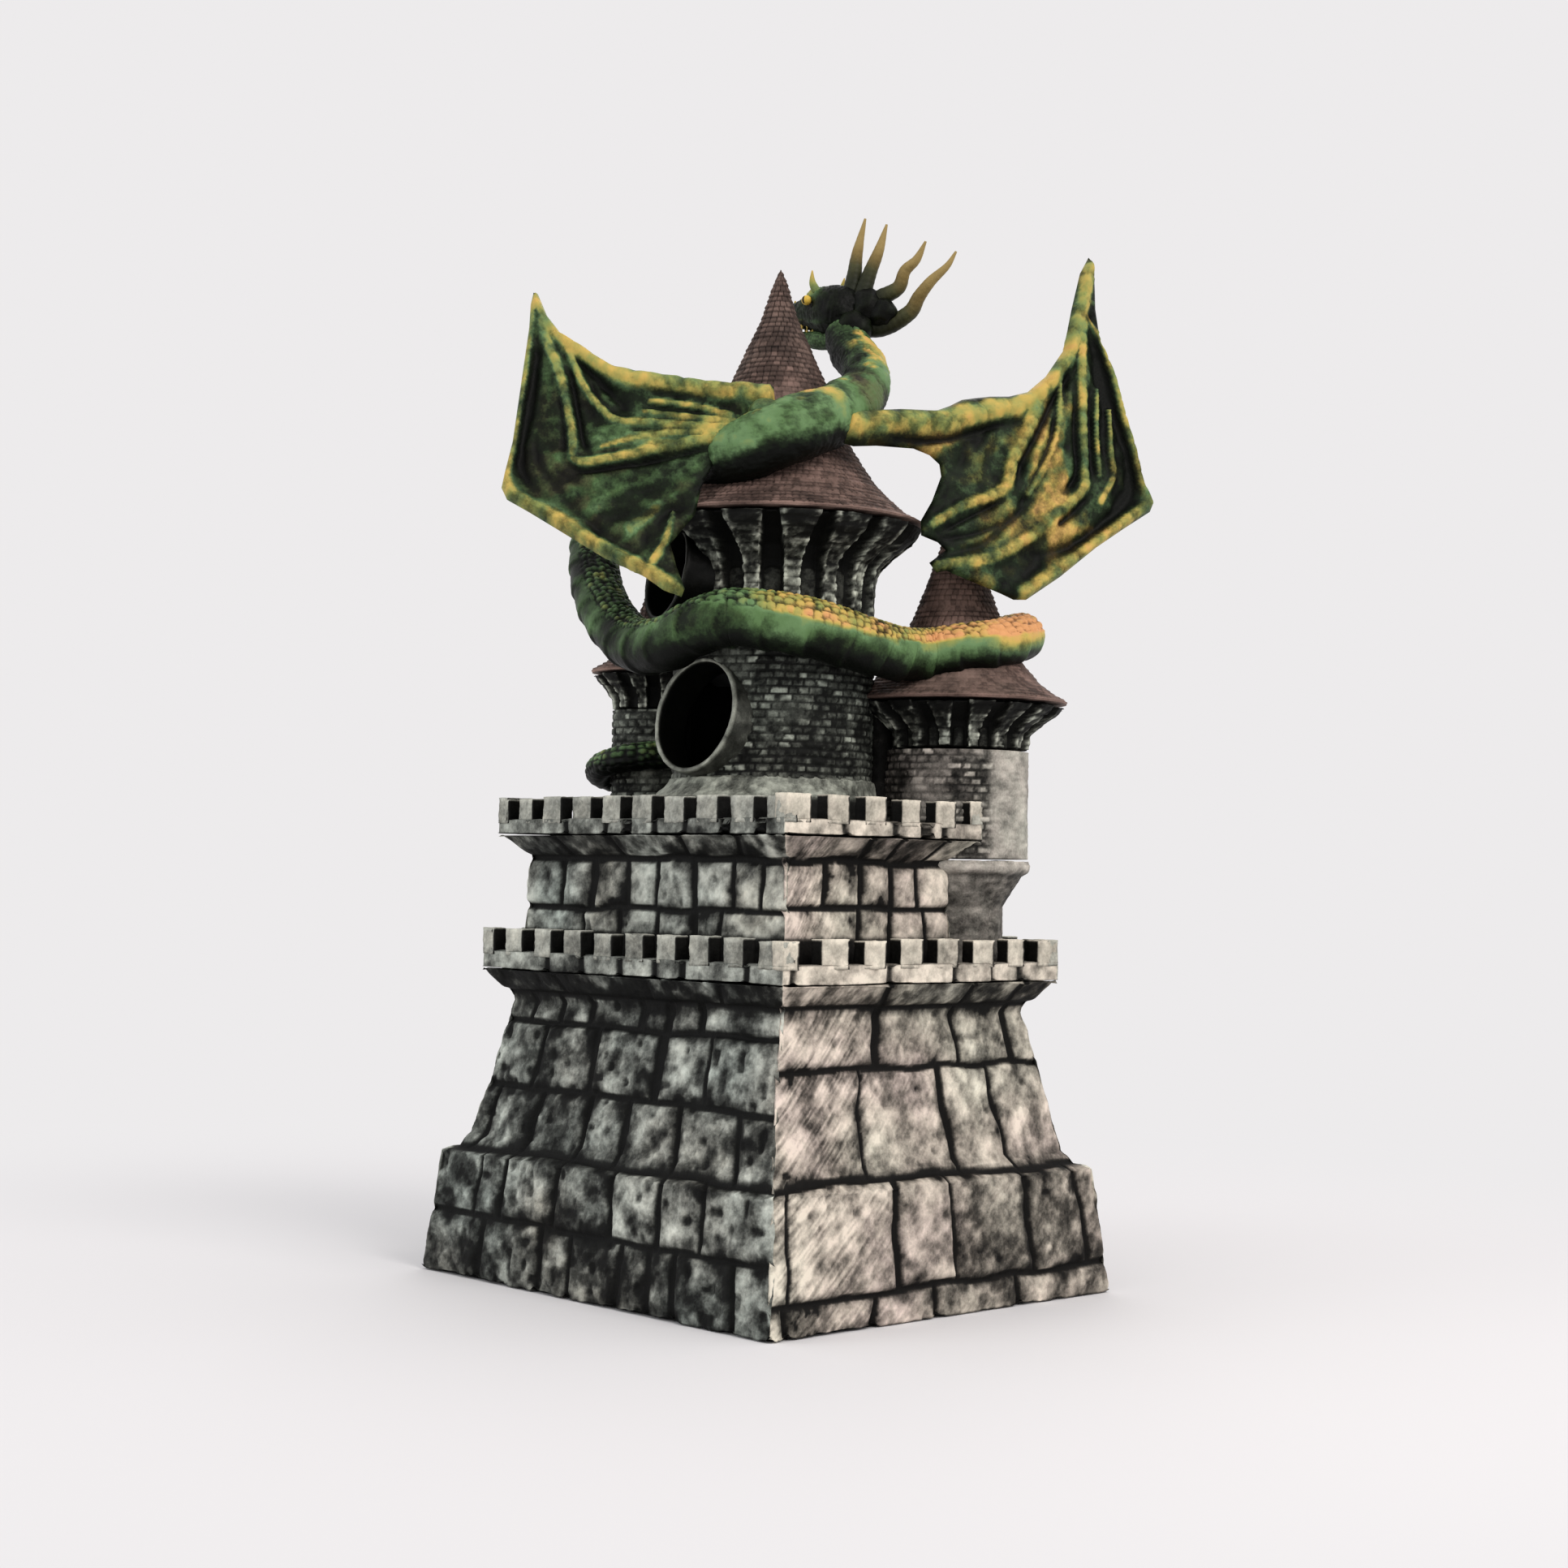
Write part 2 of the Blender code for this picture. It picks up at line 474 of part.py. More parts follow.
def castle():
    right_cutter = turned("right_tower_clearance", grown(RIGHT_STEM), RIGHT)
    right_drum_cutter = turned("right_drum_clearance", solid_profile(RIGHT_R + GAP, 121.0, 175.0), RIGHT)
    lower_pipe = port_bar("lower_port_clearance", LOWER_PORT, -0.1, 0.9, LOWER_PORT[3] + GAP)
    upper_pipe = port_bar("upper_port_clearance", UPPER_PORT, -0.1, 0.9, UPPER_PORT[3] + GAP)
    shaft = cylinder_cutter("shaft", BORE_R, (*MAIN, 120.0), (*MAIN, 240.0), 64)

    boxes("base_plate", [((-PLATE_HALF[0], -PLATE_HALF[1], 0.0), (*PLATE_HALF, PLATE_TOP))], STONE_GREY)
    base = walls("base_walls", BASE_LEVELS, hollow_from(BASE_LEVELS, WALL, BASE_INSIDE, 70.0), STONE_GREY)
    outer = arch(GATE_HALF + GATE_FRAME, GATE_SPRING, GATE_CROWN + GATE_FRAME, PLATE_TOP + GAP)
    inner = arch(GATE_HALF, GATE_SPRING, GATE_CROWN, PLATE_TOP + GAP)
    hole = arch(GATE_HALF + GATE_FRAME + GAP, GATE_SPRING, GATE_CROWN + GATE_FRAME + GAP, 0.0)
    rows = [[(MAIN[0] + x, y, z) for x, z in hole] for y in (45.0, 75.0)]
    cut(base, add_object("gate_hole", mesh_of_rows("gate_hole", rows, ring_ends=False)))
    jambs = outer + list(reversed(inner))
    rows = [[(MAIN[0] + x, y, z) for x, z in jambs] for y in GATE_Y]
    add_object("gate_surround", mesh_of_rows("gate_surround", rows, ring_ends=False), STONE_GREY)

    half_x, half_y = (half - BATTLEMENT_WALL - GAP for half in LOWER_BATTLEMENT_HALF)
    terrace = boxes("terrace_floor", [((-half_x, -half_y, TERRACE_BOTTOM), (half_x, half_y, TERRACE_TOP))],
                    STONE_GREY)
    cut(terrace, boxes("well", [((WELL_X[0], WELL_Y[0], TERRACE_BOTTOM - 5),
                                 (WELL_X[1], WELL_Y[1], TERRACE_TOP + 5))]))
    battlement("lower_battlement", LOWER_BATTLEMENT_HALF, TERRACE_BOTTOM, LOWER_SILL, LOWER_BATTLEMENT_TOP,
               LOWER_GAPS, STONE_GREY)

    inside_x, inside_y = (half - WALL + 1 for half in KEEP_LEVELS[1][1:])
    keep_inside = [(z, inside_x, inside_y) for z in (KEEP_LEVELS[0][0], KEEP_LEVELS[-1][0])]
    keep = walls("keep_walls", KEEP_LEVELS, keep_inside, STONE_GREY, KEEP_CENTRE)
    cut(keep, right_cutter, right_drum_cutter)
    middle_x, middle_y = KEEP_CENTRE
    half_x, half_y = (half - BATTLEMENT_WALL - GAP for half in KEEP_TOP_HALF)
    deck = boxes("keep_deck", [((middle_x - half_x, middle_y - half_y, DECK_BOTTOM),
                                (middle_x + half_x, middle_y + half_y, DECK_TOP))], STONE_GREY)
    cut(deck, shaft, right_drum_cutter)
    crown = battlement("upper_battlement", KEEP_TOP_HALF, DECK_BOTTOM, UPPER_SILL, KEEP_TOP,
                       UPPER_GAPS, STONE_GREY, KEEP_CENTRE)
    cut(crown, right_drum_cutter, turned("skirt_clearance", solid_profile(SKIRT_R + 0.6 + GAP, 130.0, 150.0),
                                         MAIN))

    main_tower(lower_pipe, upper_pipe, shaft)
    small_towers()
    dice_path()


def main_tower(lower_pipe, upper_pipe, shaft):
    drum_inner, floor = DRUM_R + GAP, DECK_TOP + GAP
    skirt = [(drum_inner, 148.5), (SKIRT_R - 1.6, 143.0), (SKIRT_R, 138.0), (SKIRT_R + 0.6, floor),
             (drum_inner, floor)]
    turned("main_tower_skirt", [(drum_inner + 0.6, 148.5), *skirt[1:]], MAIN, TOWER_GREY, hollow=True)
    drum = [(DRUM_R, DRUM_TOP), (DRUM_R, floor), (BORE_R, floor), (BORE_R, DRUM_TOP)]
    cut(turned("main_tower_drum", drum, MAIN, TOWER_GREY, hollow=True), lower_pipe, upper_pipe)
    levels = [(DRUM_TOP + GAP, MAIN_POST_R, MAIN_BAY_R, 0.19), (206.0, 30.0, MAIN_BAY_R, 0.2),
              (211.0, 33.0, MAIN_BAY_R, 0.25), (215.5, 38.5, 28.5, 0.34), (219.0, 42.4, 34.0, 0.4),
              (GALLERY_TOP, 43.2, 41.0, 0.42)]
    cut(gallery("main_tower_gallery", MAIN, MAIN_RIBS, MAIN_RIBS_FROM, BORE_R, levels, TOWER_GREY), upper_pipe)
    port_pipe("lower_port", LOWER_PORT, shaft)
    port_pipe("upper_port", UPPER_PORT, shaft)
    turned("main_tower_roof", [*MAIN_ROOF, (0.0, MAIN_ROOF[-1][1])], MAIN, ROOF_BROWN)


def small_towers():
    turned("right_tower_stem", RIGHT_STEM, RIGHT, TOWER_GREY)
    turned("right_tower_drum", solid_profile(RIGHT_R, *RIGHT_DRUM), RIGHT, TOWER_GREY)
    low = RIGHT_DRUM[1] + GAP
    levels = [(low, RIGHT_R, 18.6, 0.16), (162.5, 22.4, 18.6, 0.17), (166.0, 26.0, 20.0, 0.23),
              (169.0, 30.5, 24.5, 0.28),
              (RIGHT_GALLERY_TOP, 32.6, 30.5, 0.3)]
    beside = turned("main_tower_clearance", solid_profile(MAIN_POST_R + GAP, 130.0, 240.0), MAIN)
    cut(gallery("right_tower_gallery", RIGHT, RIGHT_RIBS, RIGHT_RIBS_FROM, 12.0, levels, TOWER_GREY), beside)
    cut(turned("right_tower_roof", RIGHT_ROOF, RIGHT, ROOF_BROWN), beside)
    turned("left_turret_drum", solid_profile(LEFT_R, *LEFT_DRUM), LEFT, TOWER_GREY)
    low = LEFT_DRUM[1] + GAP
    levels = [(low, LEFT_R, 11.8, 0.18), (174.0, 14.6, 11.8, 0.19), (177.5, 17.2, 13.5, 0.25),
              (LEFT_GALLERY_TOP, 20.4, 19.0, 0.3)]
    gallery("left_turret_gallery", LEFT, LEFT_RIBS, 0.0, 8.0, levels, TOWER_GREY)
    turned("left_turret_roof", LEFT_ROOF, LEFT, ROOF_BROWN)


def dice_path():
    disc = cylinder_cutter("drum_bore_fit", BORE_R - GAP, (*MAIN, 160.0), (*MAIN, 210.0), 64)
    deflector = sloping_plate("port_deflector", (MAIN[0] - BORE_R, MAIN[0] + BORE_R),
                              (MAIN[1] - BORE_R, 187.0), (MAIN[1] - 1.0, 178.7), 2.0, INNER_GREY)
    fit = deflector.modifiers.new("Fit the bore", "BOOLEAN")
    fit.operation = "INTERSECT"
    fit.object = disc
    fit.solver = "EXACT"
    low, high = TERRACE_TOP + GAP, DECK_BOTTOM - GAP
    centre = (sum(CHUTE_X) / 2, sum(CHUTE_Y) / 2)
    half = ((CHUTE_X[1] - CHUTE_X[0]) / 2, (CHUTE_Y[1] - CHUTE_Y[0]) / 2)
    chute_wall = 2.0
    inner = (half[0] - chute_wall, half[1] - chute_wall)
    walls("drop_chute", [(low, *half), (high, *half)], [(low, *inner), (high, *inner)], INNER_GREY, centre)
    shelf_x = (CHUTE_X[0] + chute_wall + GAP, CHUTE_X[1] - chute_wall - GAP)
    sloping_plate("keep_baffle", shelf_x, (CHUTE_Y[1] - chute_wall - GAP, 119.0), (-11.0, 104.0), 2.5,
                  INNER_GREY)
    cheek_y, floor, roof = (-43.4, 43.4), PLATE_TOP + GAP, TERRACE_BOTTOM - GAP
    for name, low_x in (("ramp_cheek_left", CHANNEL_X[0] - CHEEK), ("ramp_cheek_right", CHANNEL_X[1])):
        boxes(name, [((low_x, cheek_y[0], floor), (low_x + CHEEK, cheek_y[1], roof))], INNER_GREY)
    half = RAMP_WIDTH / 2
    sloping_plate("exit_ramp", (MAIN[0] - half, MAIN[0] + half), RAMP_HIGH, RAMP_LOW, 2.4, INNER_GREY)


def dragon():
    roof = turned("main_roof_clearance", grown([*MAIN_ROOF, (0.0, MAIN_ROOF[-1][1])]), MAIN)
    right_roof = turned("right_roof_clearance", grown(RIGHT_ROOF), RIGHT)
    drum = turned("drum_clearance", solid_profile(MAIN_POST_R + GAP, 130.0, 206.0), MAIN)
    turret = turned("turret_clearance", solid_profile(LEFT_R + GAP, 130.0, 181.0), LEFT)
    flare = [(0, 172.5), (33.4, 172.2), (33.4, 170.5), (22.3, 158.0), (0, 158.0)]
    right_gallery = turned("right_gallery_clearance", flare, RIGHT)
    gallery_room = turned("gallery_clearance", solid_profile(43.2 + GAP, 216.0, 223.5), MAIN)
    pipes = [port_bar("port_clearance_" + str(i), port, -0.01, 0.9, port[3] + GAP)
             for i, port in enumerate((LOWER_PORT, UPPER_PORT))]
    body_path = smooth_path(BODY)
    skull_path = smooth_path(SKULL, 3.0)
    torso_path, neck_path = stretch(body_path, 0.0, NECK_STARTS), stretch(body_path, NECK_STARTS, 1.0)
    body_room = tube("body_clearance", body_path, extra=GAP)
    skull_room = tube("skull_clearance", skull_path, extra=GAP)
    cut(tube("torso", torso_path, DRAGON_GREEN), roof)
    cut(tube("neck", neck_path, DRAGON_GREEN), roof, skull_room)
    head = tube("head", skull_path, DRAGON_GREEN)
    cut(tube("lower_jaw", smooth_path(JAW, 3.0), DRAGON_GREEN), skull_room, body_room)
    for name, place in EYES.items():
        bm = bmesh.new()
        bmesh.ops.create_uvsphere(bm, u_segments=12, v_segments=8, radius=EYE_R * MM,
                                  matrix=Matrix.Translation(Vector(place) * MM))
        mesh = bpy.data.meshes.new(name)
        bm.to_mesh(mesh)
        bm.free()
        cut(add_object(name, mesh, HORN_OCHRE), skull_room)
    neighbours = [skull_room, body_room]
    for name, points in HORNS.items():
        path = smooth_path(points, 3.0)
        cut(tube(name, path, HORN_OCHRE), *neighbours)
        neighbours.append(tube(name + "_clearance", path, extra=GAP))
    tail_path = smooth_path(TAIL)
    in_the_way = [drum, roof, right_roof, right_gallery, turret, *pipes, body_room]
    for name, start, end in zip(TAIL_NAMES, TAIL_CUTS, TAIL_CUTS[1:]):
        path = stretch(tail_path, start, end)
        cut(tube(name, path, DRAGON_GREEN), *in_the_way)
        in_the_way.append(tube(name + "_clearance", lengthened(path, GAP), extra=GAP))
    tail_room = tube("tail_clearance", tail_path, extra=GAP)
    left = wing("wing_left", LEFT_WING, LEFT_WING_ROOT, LEFT_WING_TURN, -LEFT_WING_LEAN, WING_OCHRE)
    right = wing("wing_right", RIGHT_WING, RIGHT_WING_ROOT, RIGHT_WING_TURN, RIGHT_WING_LEAN, WING_OCHRE)
    cut(left, roof, gallery_room, body_room, tail_room, pipes[1])
    cut(right, roof, right_roof, body_room, tail_room)


castle()
dragon()
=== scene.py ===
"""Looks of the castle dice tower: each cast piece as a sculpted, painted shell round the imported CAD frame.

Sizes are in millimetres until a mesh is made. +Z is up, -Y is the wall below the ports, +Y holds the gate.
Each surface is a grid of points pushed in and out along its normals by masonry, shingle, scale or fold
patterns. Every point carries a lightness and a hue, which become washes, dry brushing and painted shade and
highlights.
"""

import math

import bpy
import numpy as np
from mathutils import Matrix, Vector
from mathutils.geometry import delaunay_2d_cdt


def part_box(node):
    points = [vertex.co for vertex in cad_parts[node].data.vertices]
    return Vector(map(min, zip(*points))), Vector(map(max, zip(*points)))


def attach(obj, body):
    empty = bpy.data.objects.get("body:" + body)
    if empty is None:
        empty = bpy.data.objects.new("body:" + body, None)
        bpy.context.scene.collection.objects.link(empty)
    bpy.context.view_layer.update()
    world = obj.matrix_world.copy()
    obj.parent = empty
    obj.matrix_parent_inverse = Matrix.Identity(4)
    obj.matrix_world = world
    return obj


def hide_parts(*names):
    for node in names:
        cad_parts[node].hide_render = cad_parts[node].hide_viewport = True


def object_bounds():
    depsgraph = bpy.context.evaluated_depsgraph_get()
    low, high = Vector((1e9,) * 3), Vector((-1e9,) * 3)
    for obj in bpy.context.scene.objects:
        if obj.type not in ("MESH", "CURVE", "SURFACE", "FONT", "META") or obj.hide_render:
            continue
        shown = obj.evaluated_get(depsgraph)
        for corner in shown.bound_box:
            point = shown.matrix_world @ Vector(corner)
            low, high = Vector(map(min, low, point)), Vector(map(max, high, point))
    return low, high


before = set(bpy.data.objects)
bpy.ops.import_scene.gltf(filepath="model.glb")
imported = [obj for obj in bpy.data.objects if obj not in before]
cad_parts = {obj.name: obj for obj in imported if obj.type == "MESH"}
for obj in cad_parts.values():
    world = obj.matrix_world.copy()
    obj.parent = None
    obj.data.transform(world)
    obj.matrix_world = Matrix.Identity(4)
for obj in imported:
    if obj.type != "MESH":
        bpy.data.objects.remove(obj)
CAD_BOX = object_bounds()

MM = 0.001
TURN = 2 * math.pi
WIDE, MID, THIN = 2.0, 1.2, 0.7  # widths of mortar joints
# painted shade: paint is darker where a surface faces down
UNDERSIDE_PAINTED_SHADE = 0.16  # how much darker paint is where a surface faces down
SHEEN = 0.12  # how strongly matt paint reflects, where 0.5 is glossy plastic


def cad_box(node):
    """Lowest and highest corner of a CAD node, in mm."""
    low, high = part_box(node)
    return np.array(low) / MM, np.array(high) / MM


def cad_centre(node):
    return sum(cad_box(node)) / 2


# ---------------------------------------------------------------- noise

def lattice(ix, iy, iz, seed):
    """A repeatable number from 0 to 1 for each whole-number lattice point."""
    h = (ix * 374761393 + iy * 668265263 + iz * 1274126177 + seed * 362437) & 0xFFFFFFFF
    h = ((h ^ (h >> 13)) * 1103515245 + 12345) & 0xFFFFFFFF
    h = ((h ^ (h >> 15)) * 668265263) & 0xFFFFFFFF
    return ((h ^ (h >> 16)) & 0xFFFFFF) / 0xFFFFFF


def chance(number, seed):
    """A repeatable number from 0 to 1 for each whole number."""
    number = np.asarray(number).astype(np.int64)
    return lattice(number, number * 7 + 3, number * 0, seed)


def noise(p, size, seed=0):
    """Smooth noise from -1 to 1 with lumps of about this size."""
    q = np.asarray(p, float) / size
    base = np.floor(q)
    f = q - base
    f = f * f * (3 - 2 * f)
    i = base.astype(np.int64)
    total = np.zeros(q.shape[:-1])
    for dx in (0, 1):
        wx = f[..., 0] if dx else 1 - f[..., 0]
        for dy in (0, 1):
            wy = f[..., 1] if dy else 1 - f[..., 1]
            for dz in (0, 1):
                wz = f[..., 2] if dz else 1 - f[..., 2]
                total += wx * wy * wz * lattice(i[..., 0] + dx, i[..., 1] + dy, i[..., 2] + dz, seed)
    return 2 * total - 1


def fbm(p, size, seed=0, octaves=4):
    total, weight, scale = 0.0, 1.0, 0.0
    for k in range(octaves):
        total = total + weight * noise(p, size / 2 ** k, seed + 17 * k)
        scale += weight
        weight *= 0.55
    return total / scale * 1.4


def cells(u, v, seed=0, jitter=0.75):
    """Distances to the nearest and next of scattered centres, one in each square, and the nearest's number."""
    iu, iv = np.floor(u).astype(np.int64), np.floor(v).astype(np.int64)
    first = np.full(u.shape, 9.0)
    second = first.copy()
    number = np.zeros(u.shape, np.int64)
    for du in (-1, 0, 1):
        for dv in (-1, 0, 1):
            cu, cv = iu + du, iv + dv
            pu = cu + 0.5 + jitter * (lattice(cu, cv, cu * 0, seed) - 0.5)
            pv = cv + 0.5 + jitter * (lattice(cu, cv, cu * 0 + 1, seed) - 0.5)
            d = np.hypot(u - pu, v - pv)
            closer = d < first
            second = np.where(closer, first, np.minimum(second, d))
            number = np.where(closer, cu * 7919 + cv, number)
            first = np.where(closer, d, first)
    return first, second, number


def vary(number, seed):
    """A repeatable number from -0.5 to 0.5 for each whole number."""
    return chance(number, seed) - 0.5


def stretched(u, v, w, seed):
    """Smooth noise of three coordinates that each have a scale of their own."""
    return noise(np.stack(np.broadcast_arrays(u, v, w), -1), 1.0, seed)


def smooth(x, low, high):
    """A soft step from 0 at low to 1 at high."""
    t = np.clip((x - low) / (high - low), 0, 1)
    return t * t * (3 - 2 * t)


def between(x, low, high, falling, gone):
    """1 between two soft steps and 0 outside them."""
    return smooth(x, low, high) * (1 - smooth(x, falling, gone))


def bell(x, middle, width):
    """1 at the middle, and about a third at this width from it."""
    return np.exp(-(((x - middle) / width) ** 2))


# ---------------------------------------------------------------- lines and rings

def unit(v):
    """Rows of vectors brought to length 1."""
    return v / np.linalg.norm(v, axis=-1, keepdims=True)


def distances(line):
    """How far along a broken line each of its points is."""
    return np.concatenate([[0], np.cumsum(np.linalg.norm(np.diff(line, axis=0), axis=1))])


def ring_angles(columns):
    return np.arange(columns) / columns * TURN


def around(centre, radius, angle, z):
    """Points at a radius, an angle and a height round an upright axis."""
    x, y = centre[0] + radius * np.cos(angle), centre[1] + radius * np.sin(angle)
    return np.stack(np.broadcast_arrays(x, y, z), -1)


# ---------------------------------------------------------------- meshes

def grid_normals(grid, loop=False):
    across = np.roll(grid, -1, 1) - np.roll(grid, 1, 1)
    along = np.roll(grid, -1, 0) - np.roll(grid, 1, 0) if loop else np.gradient(grid, axis=0)
    n = np.cross(across, along)
    return n / np.maximum(np.linalg.norm(n, axis=-1, keepdims=True), 1e-9)


class Piece:
    """Closed shells gathered into one mesh, each point with a lightness and a hue for its paint."""

    def __init__(self):
        self.points, self.quads, self.triangles, self.light, self.hue = [], [], [], [], []
        self.count = 0

    def add_raw(self, points, quads, triangles, light, hue):
        corners = np.vstack([quads[:, [0, 1, 2]], quads[:, [0, 2, 3]], triangles])
        if np.linalg.det(points[corners]).sum() < 0:
            quads, triangles = quads[:, ::-1], triangles[:, ::-1]
        self.points.append(points)
        self.quads.append(quads + self.count)
        self.triangles.append(triangles + self.count)
        self.light.append(light)
        self.hue.append(hue)
        self.count += len(points)

    def add(self, grid, height, light, hue, loop=False):
        """A grid of rings pushed out by height. With loop its ends join, and without it both are closed."""
        shape = grid.shape[:2]
        normals = grid_normals(grid, loop)
        surface = grid + normals * np.broadcast_to(height, shape)[..., None]
        light, hue = (np.array(np.broadcast_to(v, shape), float) for v in (light, hue))
        # painted shade: darker where a surface faces down
        light = light - UNDERSIDE_PAINTED_SHADE * np.clip(-normals[..., 2], 0, 1) * np.sign(light.mean())
        index = np.arange(shape[0] * shape[1]).reshape(shape)
        low = index if loop else index[:-1]
        high = np.roll(index, -1, 0) if loop else index[1:]
        quads = np.stack([low, np.roll(low, -1, 1), np.roll(high, -1, 1), high], -1).reshape(-1, 4)
        triangles = np.zeros((0, 3), int)
        points, light_flat, hue_flat = surface.reshape(-1, 3), light.ravel(), hue.ravel()
        if not loop:
            n = len(points)
            points = np.vstack([points, surface[0].mean(0), surface[-1].mean(0)])
            light_flat = np.append(light_flat, [light[0].mean(), light[-1].mean()])
            hue_flat = np.append(hue_flat, [hue[0].mean(), hue[-1].mean()])
            first, last = index[0], index[-1]
            triangles = np.vstack([np.stack([np.roll(first, -1), first, np.full_like(first, n)], -1),
                                   np.stack([last, np.roll(last, -1), np.full_like(last, n + 1)], -1)])
        self.add_raw(points, quads, triangles, light_flat, hue_flat)

    def make(self, name, paint, carve=None):
        """Stands in for the CAD node of the same name. paint is a material and its slot; the slot is not used.
        """
        low, high = (np.array(v) / MM for v in CAD_BOX)
        points = np.clip(np.vstack(self.points), low + 0.05, high - 0.05)
        mesh = new_mesh(name, points, np.vstack(self.quads), np.vstack(self.triangles))
        for key, values in (("light", self.light), ("hue", self.hue)):
            mesh.attributes.new(key, "FLOAT", "POINT").data.foreach_set("value",
                    np.concatenate(values).astype(np.float32))
        obj = bpy.data.objects.new(name, mesh)
        bpy.context.scene.collection.objects.link(obj)
        if carve is not None:
            carve_out(obj, carve)
        obj.data.materials.clear()
        material, slot = paint
        obj.data.materials.append(material)
        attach(obj, "root")
        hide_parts(name)


def shell(name, paint, grid, height, light, hue, loop=False, carve=None):
    """A piece made of one closed grid."""
    piece = Piece()
    piece.add(grid, height, light, hue, loop)
    piece.make(name, paint, carve)


def new_mesh(name, points, quads, triangles):
    mesh = bpy.data.meshes.new(name)
    mesh.vertices.add(len(points))
    mesh.vertices.foreach_set("co", (points * MM).astype(np.float32).ravel())
    loops = np.concatenate([quads.ravel(), triangles.ravel()]).astype(np.int32)
    starts = np.concatenate([np.arange(len(quads)) * 4, len(quads) * 4 + np.arange(len(triangles))
                             * 3]).astype(np.int32)
    mesh.loops.add(len(loops))
    mesh.loops.foreach_set("vertex_index", loops)
    mesh.polygons.add(len(starts))
    mesh.polygons.foreach_set("loop_start", starts)
    mesh.update(calc_edges=True)
    mesh.shade_smooth()
    return mesh


def carve_out(obj, cutter_grid):
    """Cuts a closed grid's solid out of an object for good."""
    cutter = Piece()
    cutter.add(cutter_grid, 0.0, 0.02, 0.3)
    mesh = new_mesh("cutter", np.vstack(cutter.points), np.vstack(cutter.quads), np.vstack(cutter.triangles))
    for key, value in (("light", 0.02), ("hue", 0.3)):
        layer = mesh.attributes.new(key, "FLOAT", "POINT")
        layer.data.foreach_set("value", np.full(len(mesh.vertices), value, np.float32))
    tool = bpy.data.objects.new("cutter", mesh)
    bpy.context.scene.collection.objects.link(tool)
    modifier = obj.modifiers.new("Carve", "BOOLEAN")
    modifier.operation = "DIFFERENCE"
    modifier.object = tool
    modifier.solver = "EXACT"
    bpy.context.view_layer.update()
    carved = bpy.data.meshes.new_from_object(obj.evaluated_get(bpy.context.evaluated_depsgraph_get()))
    obj.modifiers.clear()
    obj.data = carved
    carved.shade_smooth()
    bpy.data.objects.remove(tool)


def resample(line, step):
    """The same broken line with points about step apart, keeping its own corners."""
    line = np.asarray(line, float)
    rows = [line[:1]]
    for a, b in zip(line, line[1:]):
        n = max(1, int(round(np.linalg.norm(b - a) / step)))
        rows.append(a + (b - a) * (np.arange(1, n + 1) / n)[:, None])
    return np.vstack(rows)


def catmull(knots, step):
    """Rows about step apart on a smooth curve through the knots, whose first three columns are a place.

    The second result is how far along the curve each row is.
    """
    k = np.asarray(knots, float)
    k = np.vstack([2 * k[0] - k[1], k, 2 * k[-1] - k[-2]])
    t = np.linspace(0, 1, 40, endpoint=False)[:, None]
    dense = [0.5 * (2 * b + (c - a) * t + (2 * a - 5 * b + 4 * c - d) * t * t + (3 * b - a - 3 * c + d)
                    * t ** 3)
             for a, b, c, d in zip(k, k[1:], k[2:], k[3:])]
    dense = np.vstack([*dense, k[-2]])
    run = distances(dense[:, :3])
    s = np.linspace(0, run[-1], max(4, int(round(run[-1] / step)) + 1))
    return np.stack([np.interp(s, run, dense[:, i]) for i in range(dense.shape[1])], 1), s


# ---------------------------------------------------------------- paint

def ramp(nodes, stops, where):
    node = nodes.new("ShaderNodeValToRGB")
    node.location = where
    elements = node.color_ramp.elements
    while len(elements) < len(stops):
        elements.new(0.5)
    for element, (place, colour) in zip(elements, stops):
        element.position = place
        element.color = (*colour, 1.0) if len(colour) == 3 else colour
    return node


